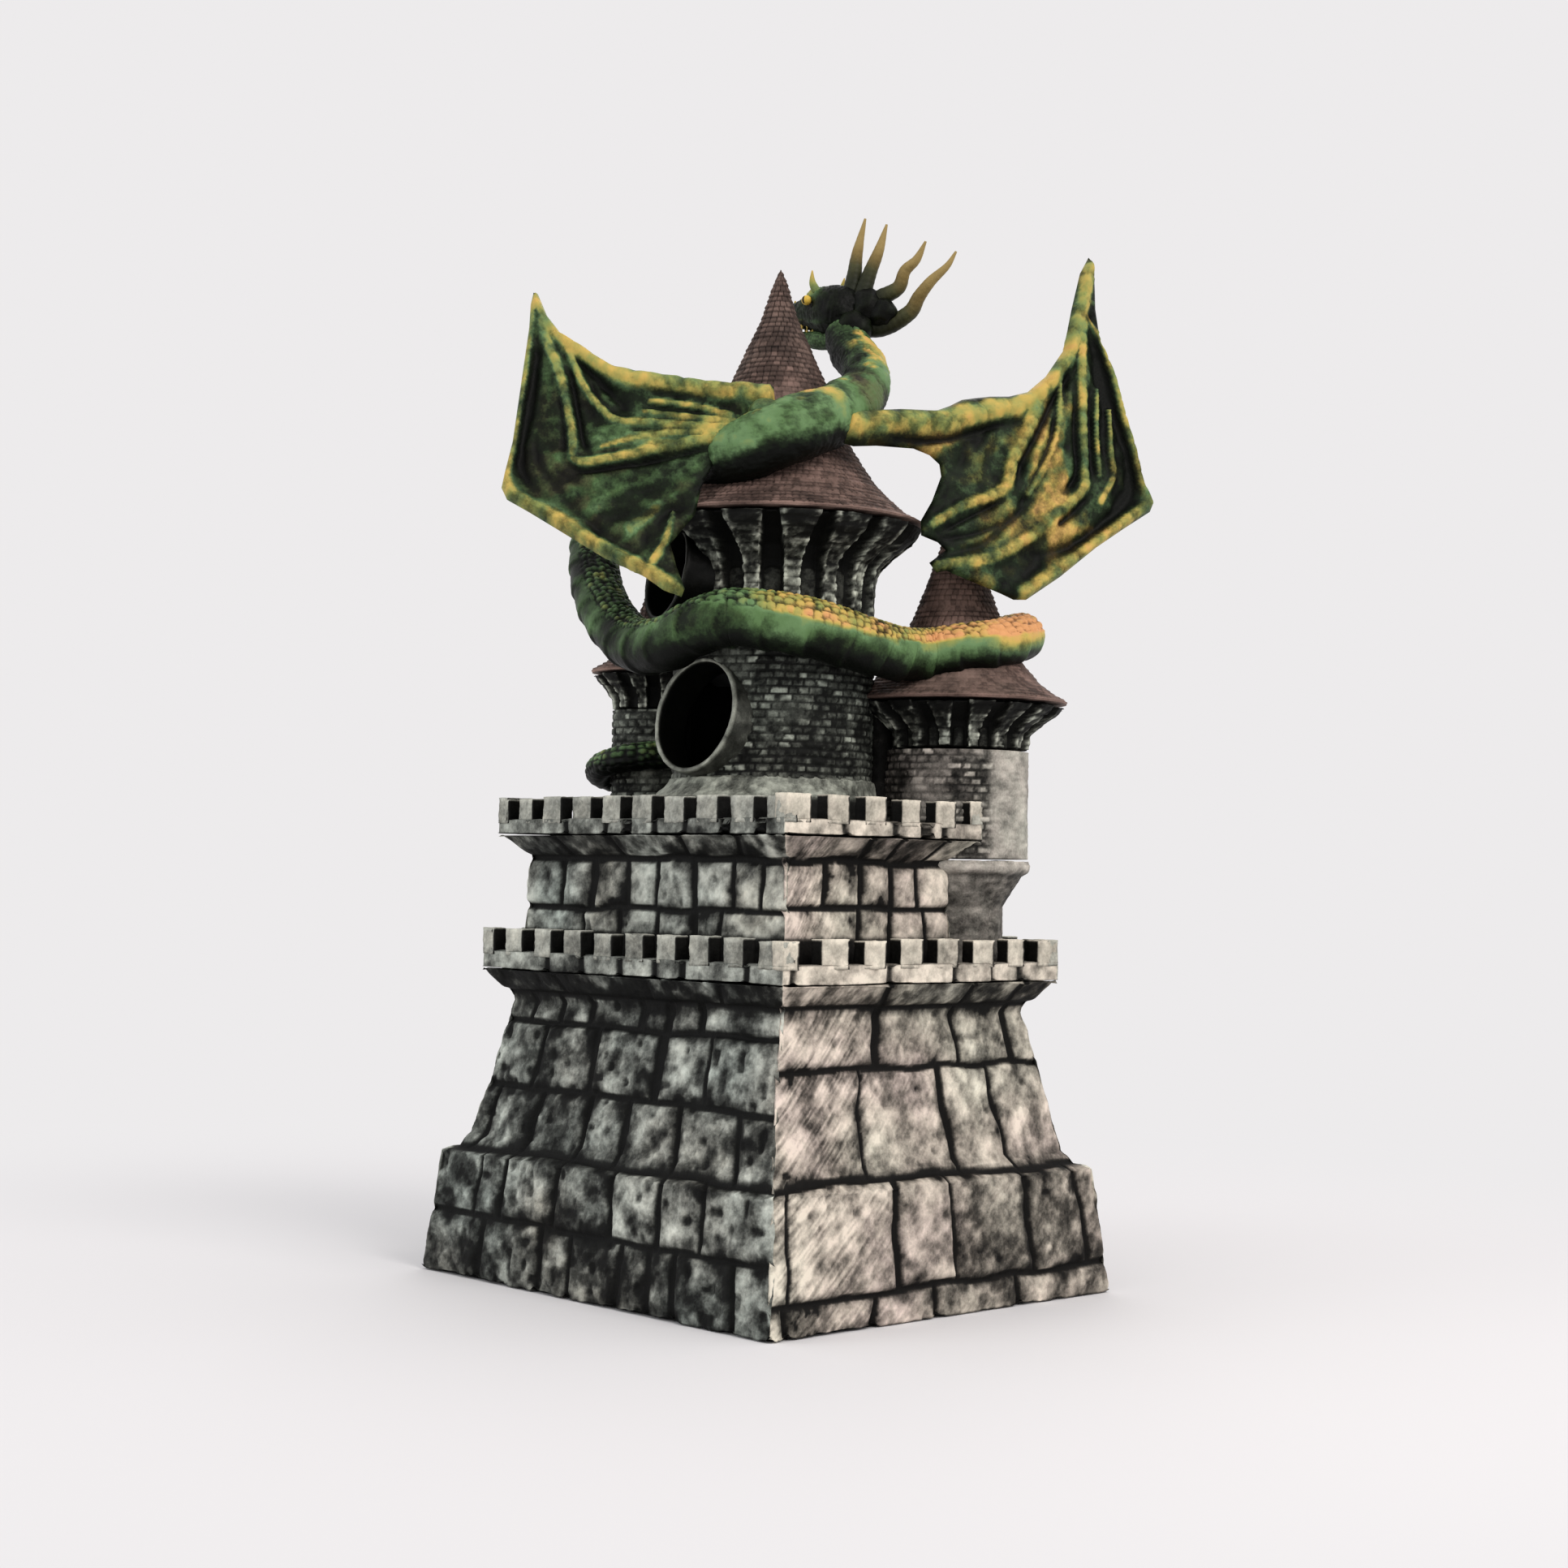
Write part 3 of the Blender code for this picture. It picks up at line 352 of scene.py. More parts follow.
def painted(slot, hues, values, grain=0.9, grain_amount=0.16, blotch=5.0, blotch_amount=0.12, bump=0.25,
            rough=(0.55, 0.8), metal=0.0):
    """Painted resin: a point's hue, darkened or dry-brushed by its lightness, both broken up by noise."""
    material = bpy.data.materials.new(slot + "_paint")
    material.use_nodes = True
    nodes, links = material.node_tree.nodes, material.node_tree.links
    shader = nodes["Principled BSDF"]
    shader.inputs["Metallic"].default_value = metal
    shader.inputs["Specular IOR Level"].default_value = SHEEN
    place = nodes.new("ShaderNodeTexCoord").outputs["Object"]

    def texture(size, detail, roughness):
        node = nodes.new("ShaderNodeTexNoise")
        node.inputs["Scale"].default_value = 1 / (size * MM)
        node.inputs["Detail"].default_value = detail
        node.inputs["Roughness"].default_value = roughness
        links.new(place, node.inputs["Vector"])
        return node.outputs["Fac"]

    def attribute(key):
        node = nodes.new("ShaderNodeAttribute")
        node.attribute_name = key
        return node.outputs["Fac"]

    def shifted(value, texture_out, amount):
        """value plus amount times (texture - 0.5)."""
        node = nodes.new("ShaderNodeMath")
        node.operation = "MULTIPLY_ADD"
        links.new(texture_out, node.inputs[0])
        node.inputs[1].default_value = amount
        shift = nodes.new("ShaderNodeMath")
        shift.operation = "SUBTRACT"
        links.new(value, shift.inputs[0])
        shift.inputs[1].default_value = amount / 2
        links.new(shift.outputs[0], node.inputs[2])
        return node.outputs[0]

    fine, broad = texture(grain, 4, 0.65), texture(blotch, 5, 0.6)
    light = shifted(shifted(attribute("light"), fine, 2.2 * grain_amount), broad, 2.2 * blotch_amount)
    hue = shifted(attribute("hue"), broad, 0.28)
    value = ramp(nodes, [(p, (v, v, v)) for p, v in values], (0, 0))
    tint = ramp(nodes, hues, (0, -300))
    links.new(light, value.inputs["Fac"])
    links.new(hue, tint.inputs["Fac"])
    mix = nodes.new("ShaderNodeMix")
    mix.data_type = "RGBA"
    mix.blend_type = "MULTIPLY"
    mix.inputs["Factor"].default_value = 1.0
    links.new(tint.outputs["Color"], mix.inputs["A"])
    links.new(value.outputs["Color"], mix.inputs["B"])
    links.new(mix.outputs["Result"], shader.inputs["Base Color"])
    gloss = nodes.new("ShaderNodeMapRange")
    gloss.inputs["To Min"].default_value, gloss.inputs["To Max"].default_value = rough
    links.new(fine, gloss.inputs["Value"])
    links.new(gloss.outputs["Result"], shader.inputs["Roughness"])
    relief = nodes.new("ShaderNodeBump")
    relief.inputs["Strength"].default_value = bump
    relief.inputs["Distance"].default_value = 0.4 * MM
    links.new(fine, relief.inputs["Height"])
    links.new(relief.outputs["Normal"], shader.inputs["Normal"])
    return material, slot


STONE_VALUES = [(0.0, 0.003), (0.18, 0.009), (0.36, 0.055), (0.52, 0.17), (0.7, 0.38), (1.0, 0.78)]
STONE_HUES = [(0.0, (0.90, 1.0, 0.90)), (0.3, (0.98, 1.0, 0.88)), (0.55, (1.0, 0.95, 0.78)),
              (0.8, (1.0, 0.88, 0.74)),
              (1.0, (1.0, 0.82, 0.74))]
TOWER_HUES = [(0.0, (0.86, 0.95, 0.80)), (0.4, (0.97, 1.0, 0.84)), (0.7, (1.0, 0.91, 0.80)),
              (1.0, (1.0, 0.86, 0.78))]
ROOF_HUES = [(0.0, (0.13, 0.12, 0.10)), (0.4, (0.24, 0.165, 0.135)), (0.7, (0.31, 0.20, 0.165)),
             (1.0, (0.42, 0.28, 0.23))]
DRAGON_HUES = [(0.0, (0.13, 0.085, 0.09)), (0.2, (0.11, 0.12, 0.05)), (0.4, (0.09, 0.17, 0.06)),
               (0.54, (0.14, 0.245, 0.105)),
               (0.66, (0.27, 0.30, 0.085)), (0.8, (0.56, 0.40, 0.10)), (1.0, (0.70, 0.34, 0.14))]
DRAGON_VALUES = [(0.0, 0.008), (0.22, 0.07), (0.42, 0.4), (0.62, 0.95), (1.0, 1.0)]
HORN_HUES = [(0.0, (0.03, 0.035, 0.02)), (0.4, (0.08, 0.08, 0.035)), (0.75, (0.24, 0.17, 0.06)),
             (1.0, (0.36, 0.26, 0.10))]
STONE = painted("castle_stone", STONE_HUES, STONE_VALUES, grain=0.8, blotch=4.5, blotch_amount=0.16,
                bump=0.35)
TOWER = painted("tower_stone", TOWER_HUES, STONE_VALUES, grain=0.7, blotch=4.0, bump=0.3)
ROOF = painted("roof_shingle", ROOF_HUES, [(0.0, 0.03), (0.35, 0.25), (0.65, 0.75), (1.0, 1.0)],
               grain=0.6, bump=0.25)
PIPE = painted("port_pipe", TOWER_HUES, STONE_VALUES, grain=0.5, grain_amount=0.1, bump=0.15,
               rough=(0.32, 0.5), metal=0.25)
SKIN = painted("dragon_skin", DRAGON_HUES, DRAGON_VALUES, grain=0.7, grain_amount=0.14, bump=0.3,
               rough=(0.4, 0.62))
WING = painted("dragon_wing", DRAGON_HUES, DRAGON_VALUES, grain=0.8, grain_amount=0.16, blotch=4.0,
               bump=0.35, rough=(0.45, 0.7))
HORN = painted("dragon_horn", HORN_HUES, [(0.0, 0.1), (0.5, 0.8), (1.0, 1.0)], grain=0.6, bump=0.2,
               rough=(0.4, 0.6))
EYE = painted("dragon_eye", [(0.0, (0.02, 0.015, 0.01)), (1.0, (0.75, 0.5, 0.08))],
              [(0.0, 0.05), (1.0, 1.0)], grain=0.4,
              grain_amount=0.05, bump=0.05, rough=(0.15, 0.3))
INNER = painted("inner_wall", [(0.0, (0.30, 0.31, 0.32)), (1.0, (0.36, 0.35, 0.34))],
                [(0.0, 0.12), (1.0, 0.45)], grain=1.2,
                bump=0.3, rough=(0.6, 0.85))


# ---------------------------------------------------------------- square walls

def square(half_x, half_y, step):
    """One turn round a square from its -X -Y corner: places from -1 to 1, the side and how far along it."""
    ends = [((-1, -1), (1, -1), half_x), ((1, -1), (1, 1), half_y), ((1, 1), (-1, 1), half_x),
            ((-1, 1), (-1, -1), half_y)]
    places, side, along = [], [], []
    for number, (a, b, half) in enumerate(ends):
        n = int(round(2 * half / step))
        t = np.arange(n) / n
        places.append(np.array(a) + (np.array(b) - np.array(a)) * t[:, None])
        side += [number] * n
        along.append(2 * t - 1)
    return np.vstack(places), np.array(side), np.concatenate(along)


def square_grid(rows, step, centre=(0.0, 0.0)):
    """A grid of square rings at rows of (height, half, half)."""
    rows = np.asarray(rows, float)
    places, side, along = square(rows[:, 1].max(), rows[:, 2].max(), step)
    x = centre[0] + rows[:, 1, None] * places[:, 0]
    y = centre[1] + rows[:, 2, None] * places[:, 1]
    z = np.broadcast_to(rows[:, 0, None], x.shape)
    return np.stack([x, y, z], -1), side, along


def random_courses(levels, seed, length=24.0, half=70.0):
    """Courses of blocks of uneven length for a wall whose blocks aren't listed."""
    rng = np.random.default_rng(seed)
    courses = []
    for low, high in zip(levels, levels[1:]):
        place, joints = -1.0 + rng.uniform(0.15, 0.5), []
        while place < 0.9:
            joints.append((place, rng.choice([THIN, MID, WIDE])))
            place += length / half * rng.uniform(0.7, 1.3)
        courses.append((low, high, joints))
    return courses


def masonry(t, z, half, courses, seed):
    """How far the nearest joint's edge is (below 0 inside it), the block's number and the place in it."""
    where = np.stack([t * half, z, np.full_like(t, seed * 37.0)], -1)
    zw = z + 0.8 * noise(where, 13, seed)
    gap = np.full(t.shape, 9.0)
    block = np.zeros(t.shape, np.int64)
    inside = np.zeros((*t.shape, 2))
    for row, (low, high, joints) in enumerate(courses):
        here = (zw >= low) & (zw < high)
        if not here.any():
            continue
        places = np.array([-1.5, *[j for j, _ in joints], 1.5])
        widths = np.array([0.0, *[w for _, w in joints], 0.0])
        tw = t[here] + 1.1 * noise(where[here], 8, seed + row + 1) / half[here]
        k = np.clip(np.searchsorted(places, tw), 1, len(places) - 1)
        left, right = places[k - 1], places[k]
        beside = np.minimum((tw - left) * half[here] - widths[k - 1] / 2,
                            (right - tw) * half[here] - widths[k] / 2)
        below = zw[here] - low - 0.45 if row > 0 else np.full(tw.shape, 9.0)
        above = high - zw[here] - 0.45 if row < len(courses) - 1 else np.full(tw.shape, 9.0)
        gap[here] = np.minimum(beside, np.minimum(below, above))
        block[here] = seed * 977 + row * 41 + k
        left, right = np.maximum(left, -1), np.minimum(right, 1)
        inside[here] = np.stack([2 * (tw - left) / (right - left) - 1,
                                 2 * (zw[here] - low) / (high - low) - 1], -1)
    return gap, block, inside


def hewn(p, gap, block, inside, rough, seed):
    """Height and lightness of rough blocks: black joints, worn rims, pitted and smudged faces."""
    lumps, crumbs = fbm(p, 9, seed), fbm(p, 2.2, seed + 5, 3)
    smudge = fbm(p, 6, seed + 21)
    pits = smooth(noise(p, 3.4, seed + 9), 0.35, 0.75)
    face = 1 - np.exp(-np.clip(gap, 0, None) / 0.8)
    tilt = 0.45 * vary(block, 1) * inside[..., 0] + 0.45 * vary(block, 2) * inside[..., 1]
    raised = 1.3 + 0.7 * vary(block, 3) + tilt
    height = -1.5 + face * (raised + rough * (0.75 * lumps + 0.3 * crumbs - 0.55 * pits))
    rim = smooth(gap, -0.1, 0.8)
    dirt = bell(np.clip(gap, 0, None), 0, 2.4) * smooth(noise(p, 6.5, seed + 31), -0.5, 0.4)
    light = rim * (0.52 + 0.2 * vary(block, 4) + (0.24 + 0.16 * rough) * smudge + 0.16 * crumbs
                   - 0.3 * rough * pits - (0.16 + 0.14 * rough) * dirt)
    return height, light


BASE_LEVELS = [(0.0, 77.9, 67.9), (2.8, 78.1, 68.1), (12.0, 77.3, 67.4), (25.0, 75.7, 65.7),
               (36.0, 74.4, 64.3), (39.2, 70.2, 60.6),
               (41.5, 68.0, 58.6), (56.0, 64.6, 55.0), (66.0, 62.9, 52.9), (81.5, 60.2, 49.0),
               (90.6, 67.0, 55.3)]
BASE_FRONT = [
    (-9.0, 18.5, [(-0.65, MID), (-0.28, MID), (-0.1, THIN), (0.18, MID), (0.35, MID), (0.48, WIDE),
                  (0.8, THIN)]),
    (18.5, 38.5, [(-0.72, THIN), (-0.55, MID), (-0.22, MID), (0.11, MID), (0.38, MID), (0.62, MID)]),
    (38.5, 56.2, [(-0.88, MID), (-0.56, MID), (-0.21, MID), (0.05, WIDE), (0.4, MID), (0.77, MID)]),
    (56.2, 75.8, [(-0.67, MID), (-0.26, WIDE), (0.2, 3.2), (0.53, MID)]),
    (75.8, 83.7, [(-0.82, MID), (-0.58, MID), (-0.36, MID), (0.02, WIDE), (0.22, 3.2), (0.45, 3.0)]),
    (83.7, 99.0, [(-0.5, THIN), (0.12, THIN), (0.6, THIN)]),
]
BASE_RIGHT = [
    (-9.0, 8.7, [(-0.92, MID), (-0.43, MID), (-0.09, MID), (0.42, MID)]),
    (8.7, 38.5, [(-0.9, THIN), (-0.28, WIDE), (0.05, THIN), (0.53, MID), (0.88, MID)]),
    (38.5, 67.3, [(-0.41, THIN), (0.19, WIDE), (0.57, MID)]),
    (67.3, 83.7, [(-0.27, WIDE), (0.36, THIN), (0.8, WIDE)]),
    (83.7, 99.0, [(-0.25, MID), (0.36, THIN), (0.77, MID)]),
]
BASE_COURSES = [BASE_FRONT, BASE_RIGHT, random_courses([-9.0, 14.0, 38.5, 56.0, 70.0, 83.7, 99.0], 3),
                random_courses([-9.0, 18.5, 38.5, 60.0, 83.7, 99.0], 4)]
KEEP_LEVELS = [(94.2, 58.9, 33.5), (109.0, 58.4, 33.0), (124.4, 57.8, 32.4), (125.6, 58.6, 33.2),
               (131.2, 64.2, 38.7)]
KEEP_COURSES = [
    [(90.0, 110.0, [(-0.51, MID), (-0.22, MID), (0.07, MID), (0.34, MID), (0.54, MID)]),
     (110.0, 124.4, [(-0.69, MID), (-0.45, WIDE), (-0.18, MID), (0.04, MID), (0.325, WIDE), (0.62, MID),
                     (0.82, MID)]),
     (124.4, 140.0, [(-0.6, THIN), (-0.2, THIN), (0.3, THIN), (0.7, THIN)])],
    [(90.0, 111.5, [(-0.13, MID), (0.25, MID), (0.68, MID)]), (111.5, 124.2,
            [(-0.53, MID), (-0.09, MID), (0.27, MID), (0.59, MID)]),
     (124.2, 140.0, [(-0.12, MID), (0.2, THIN), (0.66, THIN)])],
    random_courses([90.0, 110.0, 124.4, 140.0], 5, 20, 58), random_courses([90.0, 110.0, 124.4, 140.0], 6, 18,
            33)]


def side_looks(side, along, z, low_dark):
    """Added lightness and hue per side: the -Y side cool with painted shade, the +X side warm with painted
    light.
    """
    cool = np.array([0.2, 0.72, 0.35, 0.25])[side]
    gain = np.array([-0.03, 0.14, 0.0, 0.0])[side]
    corner = np.where(side == 1, smooth(-along, -0.2, 1.0), np.where(side == 0, smooth(along, 0.0, 1.0) * 0.2,
            0.2))
    gain = gain + 0.1 * corner - low_dark * (1 - smooth(z, 0.0, 40.0)) * np.where(side == 1,
            0.4 + 0.6 * smooth(along, -0.2, 0.9), 1.0)
    return gain, cool


def wall_piece(name, levels, inner, courses, step, centre, rough, low_dark, cornice_from, painted_shade_below=-9.0,
               lift=0.0, carve=None):
    """Four sculpted walls as one hollow loop, with painted shade below a height, behind the battlement in
    front.
    """
    zs = [level[0] for level in levels]
    heights = np.unique(np.concatenate([np.arange(zs[0], zs[-1], step), [zs[-1]]]))
    outer = np.array([(z, *[np.interp(z, zs, [level[k] for level in levels]) for k in (1,
            2)]) for z in heights])
    rows = np.vstack([outer, [(zs[-1], (outer[-1, 1] + inner[-1][1]) / 2, (outer[-1, 2] + inner[-1][2]) / 2)],
                      inner[::-1]])
    grid, side, along = square_grid(rows, step, centre)
    n = len(outer)
    p = grid[:n]
    z = p[..., 2]
    sides, t = np.broadcast_to(side, z.shape), np.broadcast_to(along, z.shape)
    height, light, hue = (np.zeros(grid.shape[:2]) for _ in range(3))
    light[:], hue[:] = 0.12, 0.3
    for number in range(4):
        here = side == number
        half = np.broadcast_to(rows[:n, 1 if number % 2 == 0 else 2, None], z.shape)[:, here]
        gap, block, inside = masonry(t[:, here], z[:, here], half, courses[number], number + int(levels[-1][0]))
        h, l = hewn(p[:, here], gap, block, inside, rough[number], 11 + number)
        corner = np.minimum(1 - t[:, here], 1 + t[:, here]) * half
        h = h - 0.9 * bell(corner, 0, 1.3) * (1 + 0.8 * noise(p[:, here], 4, 90))
        l = l + 0.28 * bell(corner, 0, 1.0) * smooth(noise(p[:, here], 5, 91), -0.5, 0.5)
        height[:n, here], light[:n, here] = h, l
    gain, cool = side_looks(sides, t, z, low_dark)
    gain = gain + lift * np.where(sides == 1, 0.4, 1.0)
    streaks = stretched((t * 60 + z) * 0.12, (t * 60 - z) * 1.1, 0, 44)
    brushed = (sides == 1) * (0.05 + 0.12 * smooth(-t, 0.1, 0.7))
    light[:n] = np.where(light[:n] > 0.12, light[:n] + gain + brushed * streaks, light[:n])
    # painted shade: the flaring cornice is painted darker
    cornice = smooth(z, cornice_from - 0.5, cornice_from + 1.0)
    light[:n] -= cornice * np.where(sides == 1, 0.10, 0.16)
    height[:n] *= 1 - 0.45 * cornice
    hue[:n] = cool + 0.25 * noise(p, 22, 70)
    # painted shade: the wall dark below a height, behind the battlement in front
    light[:n] *= 0.12 + 0.88 * smooth(z, painted_shade_below - 2.0, painted_shade_below)
    height[0] = np.minimum(height[0], 0)
    height[n:] = 0
    shell(name, STONE, grid, height, light, hue, True, carve)


def arch_grid(half, spring, crown, floor, y_span, centre_x):
    """An arched bar along Y, for a cutter."""
    a = np.linspace(0, math.pi, 33)
    outline = np.array([(half, floor), *zip(half * np.cos(a), spring + (crown - spring) * np.sin(a)),
                        (-half, floor)])
    return np.stack([np.stack([centre_x + outline[:, 0], np.full(len(outline), y), outline[:, 1]],
                              -1) for y in y_span])


GATE_LOW, GATE_HIGH = cad_box("gate_surround")
GATE_X = (GATE_LOW[0] + GATE_HIGH[0]) / 2
GATE_HALF = (GATE_HIGH[0] - GATE_LOW[0]) / 2
GATE_FRAME, GATE_SPRING = 3.4, 24.0
VOUSSOIR = 8.2  # length of a stone round the gate

BASE_INNER = [(0.0, 73.0, 63.0), (12.0, 72.3, 62.4), (36.0, 69.3, 59.2), (42.0, 63.0, 53.6),
              (56.0, 59.6, 50.0), (70.0, 55.0, 44.0),
              (90.6, 55.0, 44.0)]
wall_piece("base_walls", BASE_LEVELS, BASE_INNER, BASE_COURSES, 0.62, (0.0, 0.0), (1.0, 0.55, 0.8, 0.9), 0.14,
           83.7,
           carve=arch_grid(GATE_HALF + 0.2, GATE_SPRING, GATE_HIGH[2] + 0.2, -3.0, (50.0, 80.0), GATE_X))
KEEP_LOW, KEEP_HIGH = cad_box("keep_walls")
KEEP_CENTRE = tuple((KEEP_LOW[:2] + KEEP_HIGH[:2]) / 2)
KEEP_INNER = [(94.2, 53.8, 28.4), (112.0, 53.8, 28.4), (131.2, 53.8, 28.4)]
wall_piece("keep_walls", KEEP_LEVELS, KEEP_INNER, KEEP_COURSES, 0.62, KEEP_CENTRE, (0.8, 0.4, 0.7, 0.8), 0.0,
           124.8, 104.0, 0.14)


# ---------------------------------------------------------------- battlements and floors

def stone_block(piece, low, high, seed, light, hue, outside, step=0.8, rough=1.0):
    """A rough block with a worn top, added to a piece, dry-brushed outside and on top, in painted shade
    elsewhere.
    """
    low, high = np.array(low, float), np.array(high, float)
    half, centre = (high - low) / 2, (low + high) / 2
    up = np.linspace(low[2], high[2], max(3, int(round((high[2] - low[2]) / step)) + 1))
    inward = [0.12, 0.45, 0.8]
    rows = [(low[2], half[0] * s, half[1] * s) for s in inward] + [(z, half[0], half[1]) for z in up]
    rows += [(high[2], half[0] * s, half[1] * s) for s in reversed(inward)]
    grid, side, _ = square_grid(rows, step, centre[:2])
    lumps, crumbs = fbm(grid, 5, seed), fbm(grid, 1.6, seed + 3, 2)
    top = smooth(grid[..., 2], high[2] - 2.2, high[2])
    rim = np.max(np.abs((grid - centre) / half), -1)
    height = rough * (0.34 * lumps + 0.14 * crumbs) - 0.22
    tone = light + 0.14 * lumps + 0.1 * crumbs + 0.14 * top * (rim > 0.95) + 0.12 * vary(seed, 8)
    # painted shade: faces that are not outside, the jambs and inner faces, are painted dark
    unshaded = np.maximum(np.isin(side, outside) * np.ones_like(tone),
                       smooth(grid[..., 2], high[2] - 0.9, high[2] - 0.3))
    piece.add(grid, height, tone * (0.1 + 0.9 * unshaded), hue)


PARAPET = 4.6  # thickness of the battlements


def battlement(name, half, centre, bottom, sill, top, gaps, tall, front_joints, right_joints):
    """A parapet on a cornice with separate merlons.

    gaps lists the gaps' middles and widths for the -Y and the +X side. Gaps whose middle is in tall run on down
    the cornice.
    """
    thick = PARAPET
    piece = Piece()
    heights = np.linspace(bottom, sill, 12)
    outer = [(z, half[0], half[1]) for z in heights]
    inside = [(z, half[0] - thick, half[1] - thick) for z in (bottom, sill)]
    rows = np.array([*outer, (sill, half[0] - thick / 2, half[1] - thick / 2), *inside[::-1]])
    grid, side, along = square_grid(rows, 0.7, centre)
    n = len(outer)
    p = grid[:n]
    z = p[..., 2]
    t = np.broadcast_to(along, z.shape)
    # painted shade: the parapet's inner face is painted dark
    height, light = np.zeros(grid.shape[:2]), np.full(grid.shape[:2], 0.15)
    for number in range(4):
        here = side == number
        h = half[number % 2]
        courses = [(bottom - 9, top + 9, front_joints if number % 2 == 0 else right_joints)]
        gap, block, inner = masonry(t[:, here], z[:, here], np.full(t[:, here].shape, h), courses, 50 + number)
        relief, tone = hewn(p[:, here], gap, block, inner, 0.4, 31 + number)
        relief = 0.6 * relief - 0.05
        middles = gaps[number % 2]
        if number < 2:
            places = t[:, here] * h + centre[number]
            for middle, width in middles:
                if middle in tall:
                    slot = 1 - smooth(np.abs(places - middle), width / 2 - 0.9, width / 2)
                    # painted shade: a gap that runs down the cornice is sunk and painted darker
                    relief, tone = relief - 1.6 * slot, tone - 0.5 * slot
        height[:n, here], light[:n, here] = relief, tone
    gain, hue = side_looks(np.broadcast_to(side, grid.shape[:2]), np.broadcast_to(along, grid.shape[:2]),
                           grid[..., 2], 0.0)
    light += gain + 0.06
    height[n:], light[n - 1:n + 2] = 0, 0.5
    piece.add(grid, height, light, hue, loop=True)
    for number in range(4):
        axis = number % 2
        middles = gaps[axis]
        edges = [centre[axis] - half[axis]]
        for middle, width in middles:
            edges += [middle - width / 2, middle + width / 2]
        edges.append(centre[axis] + half[axis])
        near = centre[1 - axis] + (-1 if number in (0, 3) else 1) * (half[1 - axis] - thick / 2)
        for k in range(0, len(edges), 2):
            a, b = edges[k], edges[k + 1]
            if b - a < 1.5:
                continue
            seed = 100 * number + k + int(top)
            outside = [number, *((3 - axis * 3,) if k == 0 else ()),
                       *((1 + axis,) if k == len(edges) - 2 else ())]
            rise = 1.2 * (chance(seed, 5) - 0.6)
            low, high = [a, 0, sill - 1.4], [b, 0, top + min(rise, 0.0)]
            low[1], high[1] = near - thick / 2, near + thick / 2
            if axis == 1:
                low[0], low[1], high[0], high[1] = low[1], low[0], high[1], high[0]
            # the +X merlons are painted paler, as painted light
            stone_block(piece, low, high, seed, (0.62, 0.74, 0.6, 0.6)[number], (0.35, 0.65, 0.4, 0.3)[number],
                        outside)
    piece.make(name, STONE)


LOWER_FRONT = [(-2.2 + 14.07 * i, 5.7) for i in range(-4, 5)]
LOWER_RIGHT = [(-45.3, 8.4), (-27.8, 5.7), (-13.6, 5.7), (1.1, 5.7), (15.8, 5.7), (30.6, 5.7), (43.6, 5.7)]
UPPER_FRONT = [(-57.5, 5), (-45.6, 5), (-31.7, 5), (-17.5, 5), (-3.9, 5), (10.3, 5), (24.2, 5), (38.4, 5),
               (53.3, 5)]
UPPER_RIGHT = [(-39.3, 6), (-24.8, 6), (-10.4, 6), (3.3, 6), (17.6, 6)]
lower_low, lower_high = cad_box("lower_battlement")
upper_low, upper_high = cad_box("upper_battlement")
battlement("lower_battlement", lower_high[:2] - 0.2, (0.0, 0.0), lower_low[2], 96.4, lower_high[2] - 0.3,
           (LOWER_FRONT, LOWER_RIGHT), (),
           [(-0.53, WIDE), (-0.29, MID), (-0.03, MID), (0.2, MID), (0.375, WIDE), (0.77, MID)],
           [(-0.93, MID), (-0.27, MID), (0.22, MID), (0.5, THIN), (0.71, MID)])
battlement("upper_battlement", (upper_high[:2] - upper_low[:2]) / 2 - 0.2,
           tuple((upper_high[:2] + upper_low[:2]) / 2), upper_low[2], 136.0,
           upper_high[2] - 0.3, (UPPER_FRONT, UPPER_RIGHT), (-3.9, 38.4, 53.3, 3.3),
           [(-0.48, MID), (-0.2, MID), (0.15, MID), (0.34, MID)], [(-0.4, MID), (0.1, MID), (0.6, MID)])


def paved_slab(name, flag, seed, hole=None):
    """A slab paved with worn flagstones."""
    low, high = cad_box(name)
    half, centre = (high - low) / 2, (low + high) / 2
    steps = np.linspace(1.0, 0.03, int(half[1] / 0.9))
    rows = [(low[2], half[0] * s, half[1] * s) for s in (0.03, 0.5, 1.0)] + [(low[2] + 1.2, *half[:2])]
    rows += [(high[2], half[0] * s, half[1] * s) for s in steps]
    grid, _, _ = square_grid(rows, 0.9, centre[:2])
    u, v = grid[..., 0] / flag, grid[..., 1] / flag
    first, second, number = cells(u, v, seed, 0.6)
    joint = smooth(second - first, 0.03, 0.16)
    top = (grid[..., 2] > high[2] - 0.1).astype(float)
    height = top * (-0.8 + 0.55 * joint + 0.2 * vary(number, 3) + 0.15 * fbm(grid, 4, seed))
    light = 0.08 + 0.32 * joint * top + 0.1 * vary(number, 4) + 0.14 * fbm(grid, 7, seed + 1)
    shell(name, STONE, grid, height, light, 0.3, False, hole)


def bar_grid(low, high):
    """A plain box as rings, for a cutter."""
    centre, half = (np.array(low) + high) / 2, (np.array(high) - low) / 2
    return square_grid([(z, *half[:2]) for z in (low[2], high[2])], max(half[:2]) * 2, centre[:2])[0]


def round_bar(centre, radius, low, high):
    """An upright round bar as rings, for a cutter."""
    return np.stack([around(centre, radius, ring_angles(64), z) for z in (low, high)])


MAIN = cad_centre("main_tower_drum")[:2]
RIGHT = cad_centre("right_tower_drum")[:2]
LEFT = cad_centre("left_turret_drum")[:2]
paved_slab("terrace_floor", 11.0, 61, bar_grid((-11.0, -39.0, 80.0), (35.0, -12.0, 100.0)))
paved_slab("keep_deck", 9.0, 62, round_bar(MAIN, 24.0, 120.0, 140.0))


